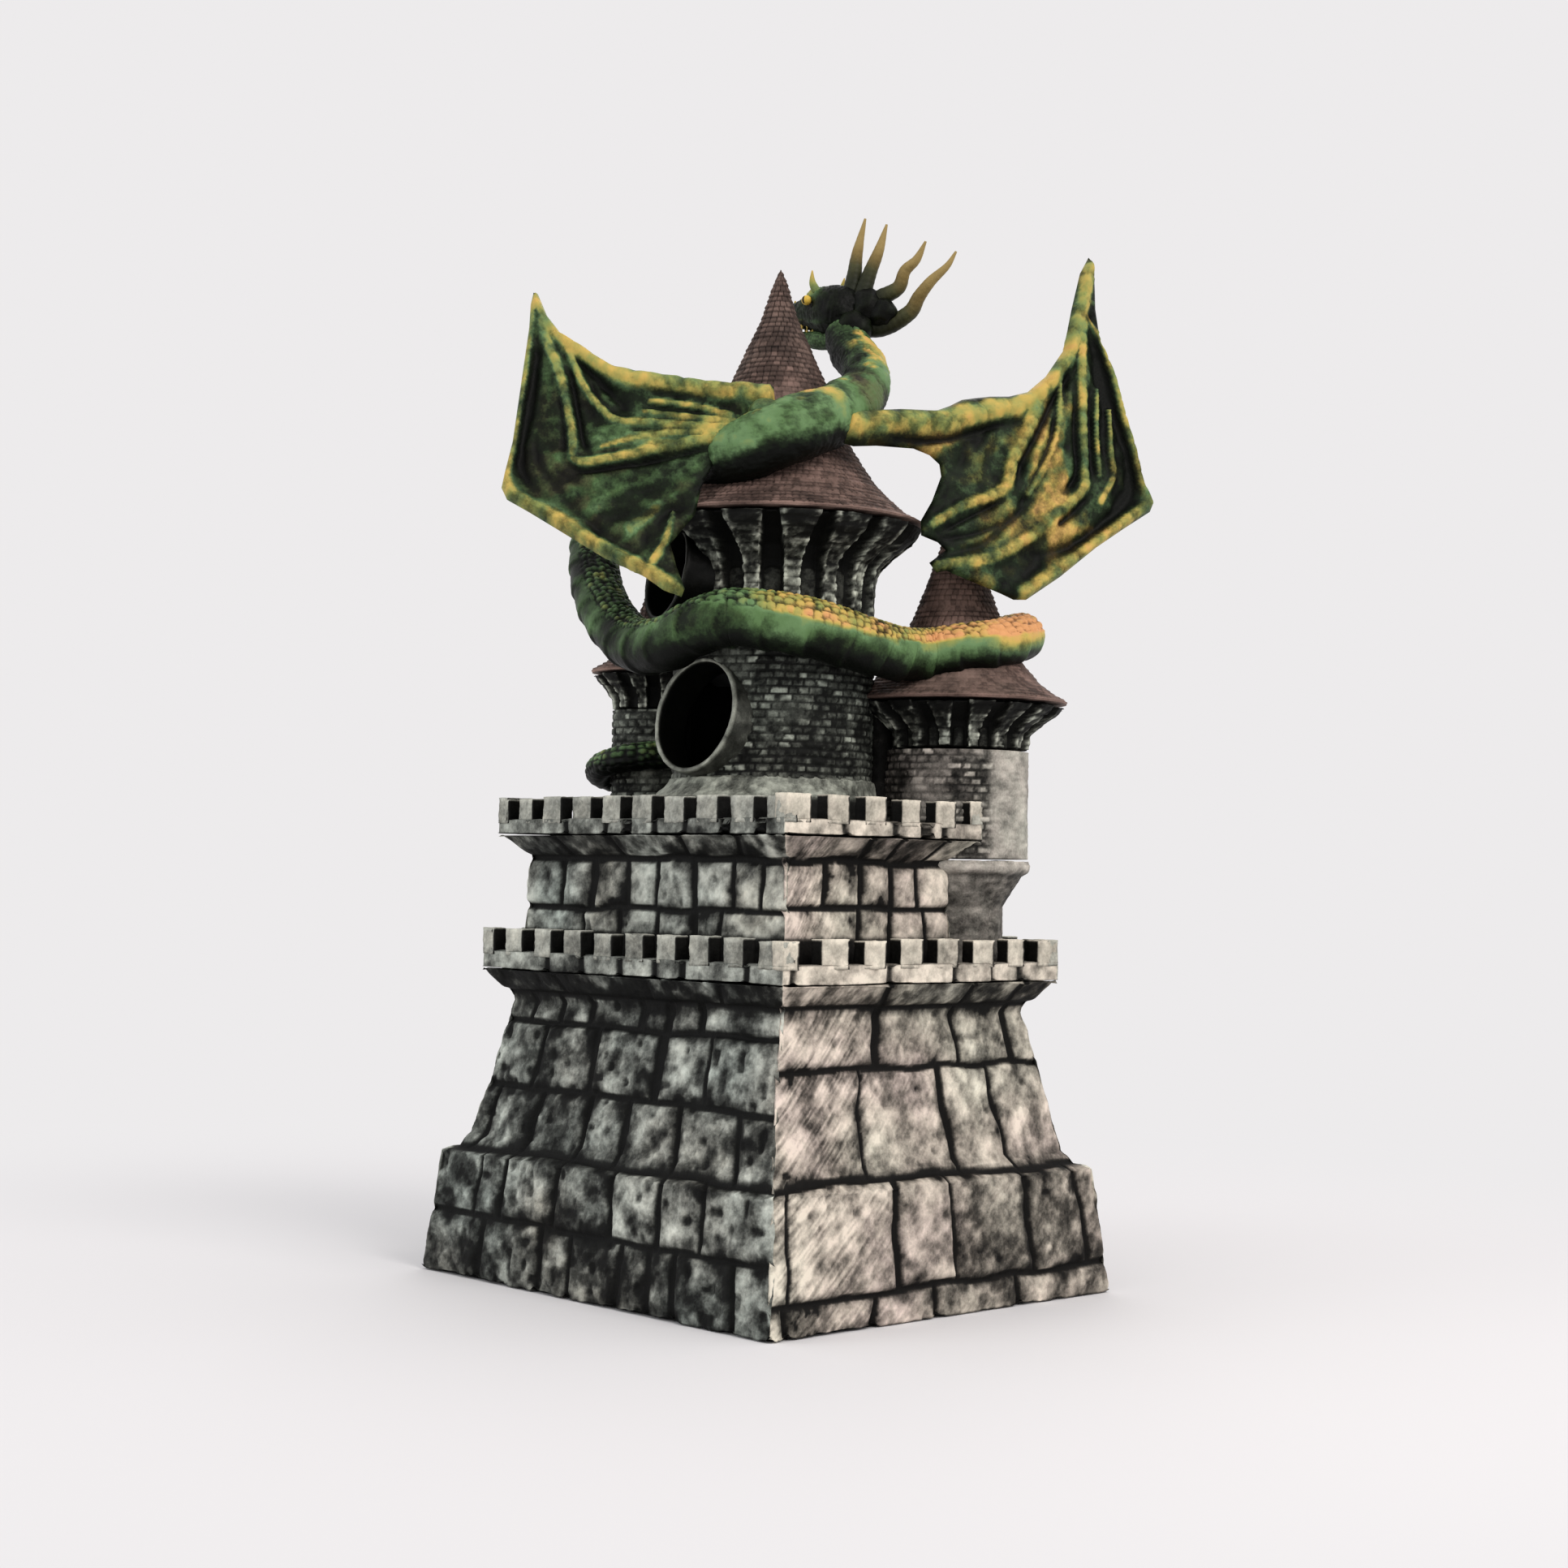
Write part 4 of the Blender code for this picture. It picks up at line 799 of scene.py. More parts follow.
def gate_surround():
    """Voussoirs and jambs round the gate, swept along the arch."""
    a = np.linspace(0, math.pi, 60)
    middle = GATE_HALF - GATE_FRAME / 2
    crown = GATE_HIGH[2] - GATE_FRAME / 2
    arch = np.array([(middle, GATE_LOW[2] + 0.2), *zip(middle * np.cos(a),
                                                       GATE_SPRING + (crown - GATE_SPRING) * np.sin(a)),
                     (-middle, GATE_LOW[2] + 0.2)])
    arch = resample(arch, 0.7)
    run = distances(arch)
    tangent = unit(np.gradient(arch, axis=0))
    out = np.stack([tangent[:, 1], -tangent[:, 0]], -1)
    section, _, _ = square(GATE_FRAME / 2, 5.6, 0.7)
    y_mid = (GATE_LOW[1] + GATE_HIGH[1]) / 2
    y_half = (GATE_HIGH[1] - GATE_LOW[1]) / 2
    across = arch[:, None] + out[:, None] * (section[None, :, :1] * GATE_FRAME / 2)
    y = np.broadcast_to(y_mid + section[:, 1] * y_half, across.shape[:2])
    grid = np.stack([GATE_X + across[..., 0], y, across[..., 1]], -1)
    share = run / VOUSSOIR
    gap = np.abs(share - np.round(share)) * VOUSSOIR
    joint = np.broadcast_to(smooth(gap, 0.2, 1.1)[:, None], grid.shape[:2])
    height = -0.9 + 0.7 * joint + 0.3 * fbm(grid, 4, 71)
    light = 0.1 + 0.42 * joint + 0.2 * fbm(grid, 5, 72)
    shell("gate_surround", STONE, grid, height, light, 0.35)


gate_surround()


# ---------------------------------------------------------------- round towers

def turned_grid(profile, centre, columns):
    """Rings up a profile of (radius, height), each ring's distance along it and each column's angle."""
    profile = np.asarray(profile, float)
    angle = ring_angles(columns)
    grid = around(centre, profile[:, :1], angle, profile[:, 1:])
    return grid, distances(profile), angle


def rubble(grid, angle, z, radius, row, length, seed):
    """Small coursed bricks round a drum: height, lightness share and which brick."""
    zz = z + 0.35 * noise(grid, 6, seed)
    course = np.floor(zz / row)
    up = zz / row - course
    count = np.maximum(6, np.round(TURN * radius / length))
    place = angle / TURN * count + 0.5 * (course % 2) + 0.35 * noise(grid, 3.0, seed + 1)
    brick = np.floor(place)
    across = place - brick
    number = (course * 331 + brick).astype(np.int64)
    gap = np.minimum(np.minimum(across, 1 - across) * length, np.minimum(up, 1 - up) * row)
    face = smooth(gap, 0.1, 0.55)
    height = face * (0.35 + 0.45 * (chance(number, 1) - 0.3))
    return height, face, number


def drum(name, centre, radius, inner, low, high, seed, brick_from, brick_to, light, hue, carve=None, pier=None):
    """A bricked drum. Outside the brick angles it is worn smooth. A dark pier may join it to the next tower."""
    zs = np.arange(low, high, 0.45)
    profile = [(radius - 0.5, z) for z in zs]
    if inner > 0:
        profile += [(inner, high), (inner, (low + high) / 2), (inner, low)]
    grid, _, angle = turned_grid(profile, centre, int(TURN * radius / 0.55))
    n = len(zs)
    a = np.broadcast_to(angle, (n, len(angle)))
    relief, face, number = rubble(grid[:n], a, grid[:n, :, 2], radius, 2.2, 3.7, seed)
    turn = np.degrees((a - math.radians(brick_from)) % TURN)
    bricked = between(turn, 0, 10, brick_to - brick_from - 12, brick_to - brick_from)
    if brick_to - brick_from >= 360:
        bricked = np.ones_like(turn)
    grain = stretched(a * 6, 0, grid[:n, :, 2] / 0.9, seed + 7)
    lumps = fbm(grid[:n], 7, seed + 2)
    worn = smooth(fbm(grid[:n], 12, seed + 12), 0.15, 0.5) * 0.6
    strength = bricked * (1 - worn)
    height, tone = np.zeros(grid.shape[:2]), np.full(grid.shape[:2], 0.05)
    height[:n] = strength * relief + (1 - strength) * (0.3 + 0.12 * grain) + 0.25 * lumps
    # painted highlight: pale bricks only on the side facing -38 degrees
    bright = smooth(chance(number, 5), 0.72, 0.9) * smooth(np.cos(a - math.radians(-38)), 0.2, 1.0)
    crumbs = fbm(grid[:n], 1.5, seed + 4, 2)
    tone[:n] = light + strength * (0.2 * face - 0.17 + (0.2 * vary(number,
            2) + 0.3 * bright + 0.2 * crumbs) * face)
    tone[:n] += (1 - strength) * (0.14 + 0.08 * grain) + 0.16 * lumps
    tone[:n] += (1 - bricked) * 0.1
    piece = Piece()
    piece.add(grid, height, tone, hue + 0.2 * noise(grid, 15, seed), loop=inner > 0)
    if pier:
        profile = [(0.4, high - 24.0), (2.2, high - 20.0), (4.2, high - 15.0), (4.4, high + 13.4)]
        pillar, _, _ = turned_grid(resample(profile, 0.6), pier, 48)
        piece.add(pillar, 0.5 * fbm(pillar, 3, seed + 5), 0.14 + 0.16 * fbm(pillar, 2.5, seed + 6), hue)
    piece.make(name, TOWER, carve)


def port_frame(reach, height, turn, tilt):
    """The middle of a port's mouth, the way it faces and two directions across it."""
    angle, slope = math.radians(turn), math.radians(tilt)
    facing = np.array([-math.sin(angle) * math.cos(slope), -math.cos(angle) * math.cos(slope), math.sin(slope)])
    mouth = np.array([MAIN[0] - reach * math.sin(angle), MAIN[1] - reach * math.cos(angle), height])
    side = unit(np.cross(facing, (0, 0, 1)))
    return mouth, facing, side, np.cross(side, facing)


def round_along(profile, port, columns=128):
    """Rings of (radius, distance in front of the mouth) round a port's axis."""
    mouth, facing, side, up = port_frame(*port)
    a = ring_angles(columns)
    profile = np.asarray(profile, float)
    ring = np.cos(a)[:, None] * side + np.sin(a)[:, None] * up
    return mouth + profile[:, 1, None, None] * facing + profile[:, 0, None, None] * ring


LOWER_PORT = (30.6, 166.0, 0.0, 11.0)
UPPER_PORT = (35.2, 207.0, 16.9, 11.0)
PORT_SIZES = {"lower_port": (17.3, 15.7, LOWER_PORT), "upper_port": (14.3, 12.8, UPPER_PORT)}


def port_pipe(name):
    outer, bore, port = PORT_SIZES[name]
    lip = 0.5
    back = -12.0
    profile = [(outer - 0.15, d) for d in np.arange(back, -lip, 0.5)]
    profile += [(outer - 0.2, -lip), (outer - 0.35, -0.12), (outer - lip, 0.0), (bore + lip, 0.0),
                (bore + 0.2, -0.15), (bore, -lip)]
    profile += [(bore, d) for d in np.arange(-1.2, back, -0.9)]
    grid = round_along(profile, port)
    depth = np.array([d for _, d in profile])[:, None]
    radius = np.array([r for r, _ in profile])[:, None]
    rim = smooth(depth, -1.0, -0.1) * np.ones(grid.shape[:2])
    inside = (radius < bore + 0.1) * np.ones(grid.shape[:2])
    height = 0.16 * fbm(grid, 2.4, 81) * (1 - inside) - 0.1
    # painted shade: the upper port is painted near black, and a painted highlight runs round each rim
    light = (0.34 if name == "lower_port" else 0.02) + 0.18 * fbm(grid, 3,
            82) * (name == "lower_port") + 0.24 * rim
    # painted shade: the bore darker the deeper it goes
    light = np.where(inside > 0, 0.02 + 0.3 * smooth(depth, -1.6, -0.2), light)
    shell(name, PIPE, grid, height, light, 0.35, True)


def gallery(name, centre, ribs, start, inner, levels, brick_row, bay_panel, dim=0.0, carve=None):
    """Flaring posts with bays between, under an eave. The bays and the posts' tops are in painted shade.

    A level is (height, post radius, bay radius, half a post's share).
    """
    levels = np.array(levels, float)
    zs = np.arange(levels[0, 0], levels[-1, 0] + 0.01, 0.45)
    post_r, bay_r, half = (np.interp(zs, levels[:, 0], levels[:, k])[:, None] for k in (1, 2, 3))
    post = np.linspace(-1, 1, 11)
    bay = np.linspace(0, 1, 9)[1:-1]
    edge, steps = 0.03, (0.35, 1.0)
    shares = [*(half * u for u in post), *(half + edge * k for k in steps),
              *(half + edge + (1 - 2 * half - 2 * edge) * u for u in bay),
              *(1 - half - edge * k for k in steps[::-1])]
    shares = np.hstack(shares)
    falling = [1 - k for k in steps]
    on = np.array([*np.ones(len(post)), *falling, *np.zeros(len(bay)), *falling[::-1]])
    columns = len(on)
    across = np.hstack([post, np.zeros(columns - len(post))])
    angle = np.hstack([math.radians(start) + TURN * (i + shares) / ribs for i in range(ribs)])
    on_all, across_all = np.tile(on, ribs), np.tile(across, ribs)
    rib = np.repeat(np.arange(ribs), columns)
    radius = bay_r + (post_r - bay_r) * on_all
    panel = np.zeros_like(radius)
    if bay_panel:
        width, top = bay_panel
        mid = (np.tile(np.arange(columns), ribs) >= len(post) + 2)
        off = np.tile(np.abs((shares - 0.5) * TURN / ribs * levels[0, 2]), (1, ribs))
        crown = top - 0.9 * off ** 2 / width
        panel = (1 - smooth(off, width / 2 - 0.6, width / 2)) * (1 - smooth(zs[:, None], crown - 0.8,
                crown)) * mid
        radius = radius + 0.7 * panel
    outer = around(centre, radius, angle, zs[:, None])
    inside = [around(centre, inner, angle[k], zs[k]) for k in (-1, len(zs) // 2, 0)]
    grid = np.vstack([outer, np.array(inside)])
    z = outer[..., 2]
    course = np.floor(z / brick_row + 0.37 * rib)
    up = z / brick_row + 0.37 * rib - course
    number = (course * 13 + rib * 977).astype(np.int64)
    joint = smooth(np.minimum(up, 1 - up), 0.04, 0.2)
    lumps, crumbs = fbm(outer, 3.5, 91), fbm(outer, 1.2, 92, 2)
    height, light = np.zeros(grid.shape[:2]), np.full(grid.shape[:2], 0.04)
    n = len(zs)
    height[:n] = on_all * (0.4 * vary(number, 1) + 0.2 * joint + 0.25 * crumbs - 0.3) + 0.12 * lumps
    rise = (z - zs[0]) / (zs[-1] - zs[0])
    worn = smooth(np.abs(across_all), 0.45, 0.85) * smooth(crumbs + 0.5 * lumps, -0.2, 0.5)
    face = on_all * (0.36 + 0.14 * joint + 0.16 * vary(number, 2) + 0.26 * lumps + 0.26 * crumbs + 0.2 * worn)
    # painted shade: the posts darker towards the eave
    face = face - on_all * (0.26 * smooth(rise, 0.7, 0.95) + 0.1 * (np.abs(across_all) < 0.75) * smooth(rise,
            0.3, 0.7))
    # painted shade: the bays are painted near black
    light[:n] = face + (1 - on_all) * (0.03 + 0.04 * lumps) + 0.26 * panel * (0.8 + 0.5 * crumbs) - dim
    shell(name, TOWER, grid, height, light, 0.3 + 0.2 * noise(grid, 9, 93), True, carve)


def shingled_roof(name, profile, centre, columns, seed, band=2.6, row=1.75, width=2.0):
    """A turned spire with rows of small shingles above a plain light eave."""
    base = profile[0]
    dense = resample(profile, 0.4)
    inner = [(base[0] * s, base[1]) for s in (0.05, 0.5, 0.85)]
    grid, run, angle = turned_grid([*inner, *dense], centre, columns)
    run = run - run[len(inner)]
    k = np.floor((run - band) / row)
    f = (run - band) / row - k
    radius_at = np.interp((k + 0.5) * row + band, run[len(inner):], dense[:, 0])
    count = np.maximum(8, np.round(TURN * radius_at / width))
    a = angle[None] / TURN * count[:, None] + 0.5 * (k % 2)[:, None] + 0.45 * noise(grid, 4, seed)
    tile = np.floor(a)
    across = np.abs(a - tile - 0.5) * 2
    number = (k[:, None] * 509 + tile).astype(np.int64)
    on = smooth(run, band - 0.3, band + 0.3)[:, None]
    gap = smooth(across, 0.72, 0.96)
    lower = (1 - f)[:, None]
    wear = smooth(fbm(grid, 16, seed + 3), -0.1, 0.5)
    height = on * (0.42 * lower * (1 - 0.6 * gap) - 0.2 * gap + 0.2 * vary(number, 1)) * (1 - 0.55 * wear) - 0.3
    height = height + 0.12 * fbm(grid, 6, seed)
    clear = 1 - 0.75 * wear
    # painted shadow: each row darker just under the row above it
    light = 0.58 + on * (0.2 * vary(number, 2) - 0.14 * gap * clear - 0.22 * (f > 0.78)[:, None] * clear)
    light = light + 0.2 * fbm(grid, 9, seed + 1) - 0.1 * on
    # painted shade: the underside is painted dark
    under = np.concatenate([np.ones(len(inner)), np.zeros(len(dense))])[:, None] * np.ones(grid.shape[:2])
    light = np.where(under > 0, 0.2, light)
    height = np.where(under > 0, -0.2, height)
    hue = 0.55 + 0.3 * fbm(grid, 20, seed + 2) + 0.2 * (1 - on)
    shell(name, ROOF, grid, height, light, hue)


def towers():
    skirt = resample([(30.6, 134.8), (32.3, 134.8), (32.1, 137.5), (31.6, 141.0), (31.0, 144.5), (30.3, 148.2),
                      (29.2, 148.5),
                      (29.2, 134.9)], 0.5)
    grid, _, angle = turned_grid(skirt, MAIN, 380)
    spread = smooth(-np.sin(angle - 0.2), -0.2, 0.5) * 0.16 * smooth(148.6 - grid[..., 2], 0,
            9) * (np.asarray(skirt)[:, :1] > 29.5)
    grid[..., :2] = MAIN + (grid[..., :2] - MAIN) * (1 + spread[..., None])
    lumps, crumbs = fbm(grid, 5, 51), fbm(grid, 1.6, 52, 2)
    outer = (np.asarray(skirt)[:, 0] > 29.5)[:, None] * np.ones(grid.shape[:2])
    # painted shade: the skirt painted dark below the tops of the merlons in front
    behind = 0.15 + 0.85 * smooth(grid[..., 2], 141.0, 143.4)
    shell("main_tower_skirt", TOWER, grid, outer * (0.5 * lumps + 0.25 * crumbs - 0.5),
          (0.56 + 0.2 * lumps + 0.14 * crumbs) * behind, 0.3, True)
    hole = round_along([(16.5, -20.0), (16.5, 12.0)], LOWER_PORT, 96)
    drum("main_tower_drum", MAIN, 29.6, 24.0, 134.8, 195.6, 21, -150, 210, 0.3, 0.15, carve=hole)
    upper_hole = round_along([(13.5, -20.0), (13.5, 12.0)], UPPER_PORT, 96)
    gallery("main_tower_gallery", MAIN, 16, 11.6, 24.0,
            [(196.0, 29.6, 26.0, 0.19), (206.0, 29.8, 26.0, 0.195), (210.0, 31.0, 26.1, 0.21),
             (214.5, 35.4, 27.6, 0.26),
             (218.6, 40.6, 31.5, 0.31), (221.4, 42.5, 36.0, 0.35), (222.8, 42.9, 40.0, 0.37)], 2.6,
             (5.2, 208.5), 0.0, upper_hole)
    port_pipe("lower_port")
    port_pipe("upper_port")
    shingled_roof("main_tower_roof", [(43.2, 223.2), (43.7, 224.1), (39.6, 225.8), (33.9, 230.6),
                                      (29.4, 235.4), (25.8, 240.5),
                                      (22.4, 245.8), (18.6, 255.0), (13.8, 266.4), (5.9, 284.0), (1.0, 298.6),
                                      (0.3, 299.7)], MAIN, 480, 23)
    stem = resample([(3.0, 94.3), (15.0, 94.3), (15.0, 112.0), (20.2, 121.0), (22.0, 122.2), (22.6, 123.0),
                     (22.7, 124.4), (22.2, 125.8), (3.0, 125.9)], 0.6)
    grid, _, angle = turned_grid(stem, RIGHT, 240)
    z = grid[..., 2]
    grain = stretched(angle * 8, 0, z / 0.9, 53)
    ledge = smooth(z, 121.0, 122.5)
    light = 0.5 + 0.2 * fbm(grid, 8, 54) + 0.1 * grain + 0.16 * ledge
    shell("right_tower_stem", TOWER, grid, 0.35 * fbm(grid, 6, 55) + 0.1 * grain - 0.3, light,
          0.65)
    drum("right_tower_drum", RIGHT, 22.0, 0.0, 126.3, 158.1, 22, -125, -12, 0.42, 0.6, pier=(30.2, 15.9))
    gallery("right_tower_gallery", RIGHT, 16, 12.2, 12.0,
            [(158.6, 21.8, 18.6, 0.16), (162.5, 22.2, 18.6, 0.17), (166.0, 25.7, 20.0, 0.23),
             (169.0, 30.2, 24.5, 0.28),
             (171.5, 32.3, 30.0, 0.31)], 2.4, (3.2, 164.6))
    shingled_roof("right_tower_roof", [(32.8, 171.95), (33.3, 172.9), (30.2, 174.6), (25.0, 178.4),
                                       (20.5, 183.5), (16.0, 190.9),
                                       (12.0, 200.6), (8.6, 210.0), (5.0, 219.5), (0.9, 230.7), (0.3, 231.7)],
                                       RIGHT, 380, 24, 2.0)
    drum("left_turret_drum", LEFT, 14.2, 0.0, 134.9, 170.5, 25, 0, 360, 0.34, 0.15)
    gallery("left_turret_gallery", LEFT, 12, 0.0, 8.0,
            [(171.0, 14.0, 11.8, 0.18), (174.0, 14.4, 11.8, 0.19), (177.5, 17.0, 13.5, 0.25),
             (181.5, 20.2, 18.4, 0.31)], 2.2, None)
    shingled_roof("left_turret_roof", [(20.6, 181.95), (21.1, 182.9), (16.0, 185.8), (11.5, 190.5),
                                       (7.6, 198.0), (4.0, 208.0),
                                       (0.8, 219.7), (0.3, 220.7)], LEFT, 260, 26, 1.6)


towers()


# ---------------------------------------------------------------- dragon

TAIL = [(-3, -24, 237, 5.0), (-20, -12, 242, 6.0), (-40, -10, 243, 6.6), (-53, -16, 237, 7.0),
        (-53, -25, 227, 7.3), (-43, -34.5, 213, 7.6), (-28, -42, 198.5, 7.8), (-9, -46.5, 187, 7.9),
        (9, -49.5, 185.5, 7.9), (21, -48.5, 189.5, 8.0), (31.5, -44.5, 192, 8.3), (41.5, -35.5, 191, 8.5),
        (47.5, -25.5, 189, 8.5), (50.8, -12, 186, 8.2), (50.5, 3, 184.5, 7.9), (51.5, 14, 185, 7.6),
        (58, 22, 187, 7.3), (62.5, 31.5, 188.8, 7.1), (61, 42.5, 191.6, 7.0), (53, 52, 193, 6.8),
        (41, 54.5, 193, 6.5), (27, 49.5, 189, 6.0), (14, 41, 180, 5.6), (1, 33, 169, 5.1), (-13, 25, 161, 4.8),
        (-25, 12.5, 157.5, 4.6), (-26.5, -1, 157.5, 4.5), (-27.5, -16, 156.5, 4.4), (-36, -26.5, 155, 4.2),
        (-48, -26, 153, 4.0), (-58.5, -18, 150.5, 3.6), (-61, -6, 148, 3.0), (-55, 6.5, 145, 2.2),
        (-45, 12, 142, 1.2)]
TAIL_PIECES = [("tail_root", 0.0, 0.21), ("tail_sling", 0.21, 0.36), ("tail_front_band", 0.36, 0.56),
               ("tail_rear_band", 0.56, 0.78),
               ("tail_tip", 0.78, 1.0)]
BODY = [(-3, -25, 236.5, 5.0), (13.5, -36, 237, 7.4), (25, -38.5, 239, 9.0), (34, -34.5, 243, 9.8),
        (38.5, -26, 247.5, 9.9), (38.5, -14.5, 252, 9.4), (36, -2.5, 258, 8.6), (31.5, 7, 264.5, 7.6),
        (23.5, 13.5, 272.5, 7.4), (15, 17, 279, 7.3), (9.5, 19.5, 285, 7.0)]
SKULL = [(14, 21.5, 291.5, 4.5), (11, 21.2, 292, 7.0), (6, 20.3, 293, 8.2), (1, 20, 293.8, 7.6),
         (-5, 20, 294.5, 5.6), (-12, 20.5, 294.8, 4.4), (-17, 20.8, 294.6, 4.0), (-20.5, 21, 294.2, 2.6)]
JAW = [(6, 18.5, 283.8, 2.6), (-1, 18.5, 285.0, 2.8), (-8, 19.5, 286.6, 2.3), (-15, 20.5, 288.0, 1.5)]
EYE_RADIUS = 1.55
HORNS = {
    "horn_1": [(9, 21.5, 296, 3.0), (9.8, 22.6, 304, 2.3), (10.6, 23, 311, 1.7), (13.4, 23.4, 321.2, 0.35)],
    "horn_2": [(12.5, 22.5, 295, 3.0), (14.5, 24.4, 304, 2.2), (17.0, 25.8, 311, 1.6),
               (19.3, 26.8, 319.0, 0.35)],
    "horn_3": [(13, 22, 292, 3.0), (18, 25.4, 296.2, 2.6), (23.5, 27.9, 299, 2.2), (26, 28.2, 303.8, 1.8),
               (29.8, 29.3, 307, 1.3),
               (33, 29.8, 312, 0.35)],
    "horn_4": [(12, 22.5, 288, 3.0), (19, 26.2, 287.4, 2.8), (27, 29.2, 291, 2.4), (31, 29.4, 295.5, 2.0),
               (35.5, 29.8, 299.5, 1.6),
               (40.3, 31.6, 303.6, 1.0), (42.8, 32.8, 307.8, 0.35)],
}


def limb(knots, step, columns, up=(0.0, 0.0, 1.0)):
    """A round limb along a smooth path. Angle 0 faces up, and 90 degrees is to the right of the way it goes."""
    path, s = catmull(knots, step)
    tangent = unit(np.gradient(path[:, :3], axis=0))
    up = np.array(up, float)
    top = unit(up - tangent * (tangent @ up)[:, None])
    right = np.cross(tangent, top)
    phi = ring_angles(columns)
    ring = np.cos(phi)[None, :, None] * top[:, None] + np.sin(phi)[None, :, None] * right[:, None]
    grid = path[:, None, :3] + path[:, 3, None, None] * ring
    return grid, s, phi, path[:, 3]


def scales(s, phi, radius, size, seed):
    """Small rounded scales over a limb: height from 0 to 1 and a number for each."""
    u = s[:, None] / size + 0 * phi
    v = (phi[None] - math.pi) * radius[:, None] / size
    first, second, number = cells(u, v, seed, 0.6)
    return np.clip(1 - (first / 0.62) ** 2, 0, 1) ** 0.7 * smooth(second - first, 0.0, 0.22), number


def tail_pieces():
    """One skin, cut into its castings: pebbles along the top and overlapping plates down the outer side."""
    grid, s, phi, radius = limb(TAIL, 0.55, 84)
    degrees = np.degrees(phi)[None] * np.ones((len(s), 1))
    pebbles, number = scales(s, phi, radius, 2.3, 5)
    sway = 12 * stretched(s / 30, 0, 0, 6)[:, None]
    front = between(s, 0.34 * s[-1], 0.38 * s[-1], 0.66 * s[-1], 0.72 * s[-1])[:, None]
    plated = smooth(degrees + sway - 22 * front, 44, 60) * (1 - smooth(degrees, 218, 236))
    pitch = 1.35 * radius[:, None]
    place = np.cumsum(np.gradient(s) / pitch[:, 0])[:, None] + 0.42 * np.cos(np.radians(degrees - 120)) * plated
    share = place - np.floor(place)
    edge = smooth(share, 0.9, 1.0)
    plate = 0.15 + 0.75 * share ** 1.5 * (1 - edge)
    creases = stretched(place * 9, degrees / 14, 0, 7)
    height = plated * (plate + 0.1 * creases) + (1 - plated) * 0.85 * pebbles - 0.55
    height *= np.clip(radius[:, None] / 7.0, 0.25, 1)
    lumps = fbm(grid, 12, 8)
    light = plated * (0.40 + 0.14 * share ** 3 - 0.22 * edge + 0.05 * creases) + (1 - plated) * (0.14 + 0.5
            * pebbles)
    # painted highlight along the middle of the front band
    light = light + 0.26 * lumps + 0.16 * fbm(grid, 4, 16) + 0.14 * front * bell(degrees, 72, 26)
    outward = np.cos(np.radians(degrees - 55))
    # painted shade on the underside, and the outer side a little lighter as painted light
    light = light - 0.34 * smooth(degrees, 105, 150) * (1 - smooth(degrees, 250, 300)) + 0.06 * smooth(outward,
            0.3, 1.0)
    total = s[-1]
    along = s[:, None] / total
    bright = between(along, 0.36, 0.39, 0.62, 0.7)
    top = 1 - plated
    hue = 0.42 + 0.1 * lumps + top * (0.08 + 0.26 * bright + 0.2 * vary(number, 3))
    hue = hue + bright * 0.2 * smooth(outward, 0.6, 1.0) * smooth(fbm(grid, 11, 15), -0.3, 0.5)
    bend = bell(s, s[np.argmax(grid[:, 0, 0])], 12.0)[:, None]
    hue = hue + 0.34 * bend * smooth(outward, 0.1, 1.0)
    light = light + 0.14 * bend * smooth(outward, 0.0, 0.9) - 0.2 * (1 - smooth(along, 0.24, 0.38))
    for name, start, end in TAIL_PIECES:
        rows = (s >= total * start - 0.4) & (s <= total * end + 0.4)
        shell(name, SKIN, grid[rows], height[rows], light[rows], hue[rows])


def body_pieces():
    """Torso and neck: fine scales, a yellower top, painted shade beneath and an ochre band round the neck's
    bend.
    """
    grid, s, phi, radius = limb(BODY, 0.5, 104)
    small, _ = scales(s, phi, radius, 1.7, 31)
    lumps = fbm(grid, 9, 32)
    degrees = np.degrees(phi)[None] * np.ones((len(s), 1))
    along = s[:, None] / s[-1]
    folds = stretched(s[:, None] / 3.2 + 0.4 * lumps, degrees / 60, 0, 33)
    height = 0.24 * small + 0.6 * lumps + 0.35 * folds * smooth(along, 0.6, 0.75) - 0.5
    outward = np.cos(np.radians(degrees - 60))
    patchy = fbm(grid, 5, 35)
    # painted light on the outward side and painted shade on the other
    light = 0.33 + 0.1 * small + 0.28 * lumps + 0.24 * patchy + 0.2 * smooth(outward, 0.0,
            1.0) - 0.25 * smooth(-outward, 0.0, 0.9)
    # painted shade on the underside and at the end by the wing root
    light = light - 0.4 * smooth(degrees, 88, 132) * (1 - smooth(degrees, 230,
            270)) - 0.34 * (1 - smooth(along, 0.12, 0.33))
    hue = 0.46 + 0.12 * lumps + 0.12 * patchy + 0.3 * smooth(np.cos(phi)[None], 0.4,
            1.0) * smooth(fbm(grid, 5, 34), -0.1, 0.6)
    band = bell(along, 0.86, 0.07) * smooth(outward, 0.1, 0.8)
    hue, light = hue + 0.36 * band, light + 0.2 * band
    seam = bell(along, 0.52, 0.05) * smooth(np.cos(phi)[None], 0.1, 0.8)
    hue, light = hue + 0.26 * seam, light + 0.1 * seam
    hue = hue - 0.25 * bell(along, 0.63, 0.06)
    for name, start, end in (("torso", 0.0, 0.6), ("neck", 0.6, 1.0)):
        rows = (along[:, 0] >= start - 0.004) & (along[:, 0] <= end + 0.004)
        piece = Piece()
        piece.add(grid[rows], height[rows], light[rows], hue[rows])
        if name == "torso":
            for x, y, z, r in ((33.0, -34.0, 251.0, 5.2), (41.5, -18.0, 250.5, 5.4)):
                lump(piece, (x, y, z), (r, r, r * 0.8), 41, 0.42, 0.56)
        piece.make(name, SKIN)


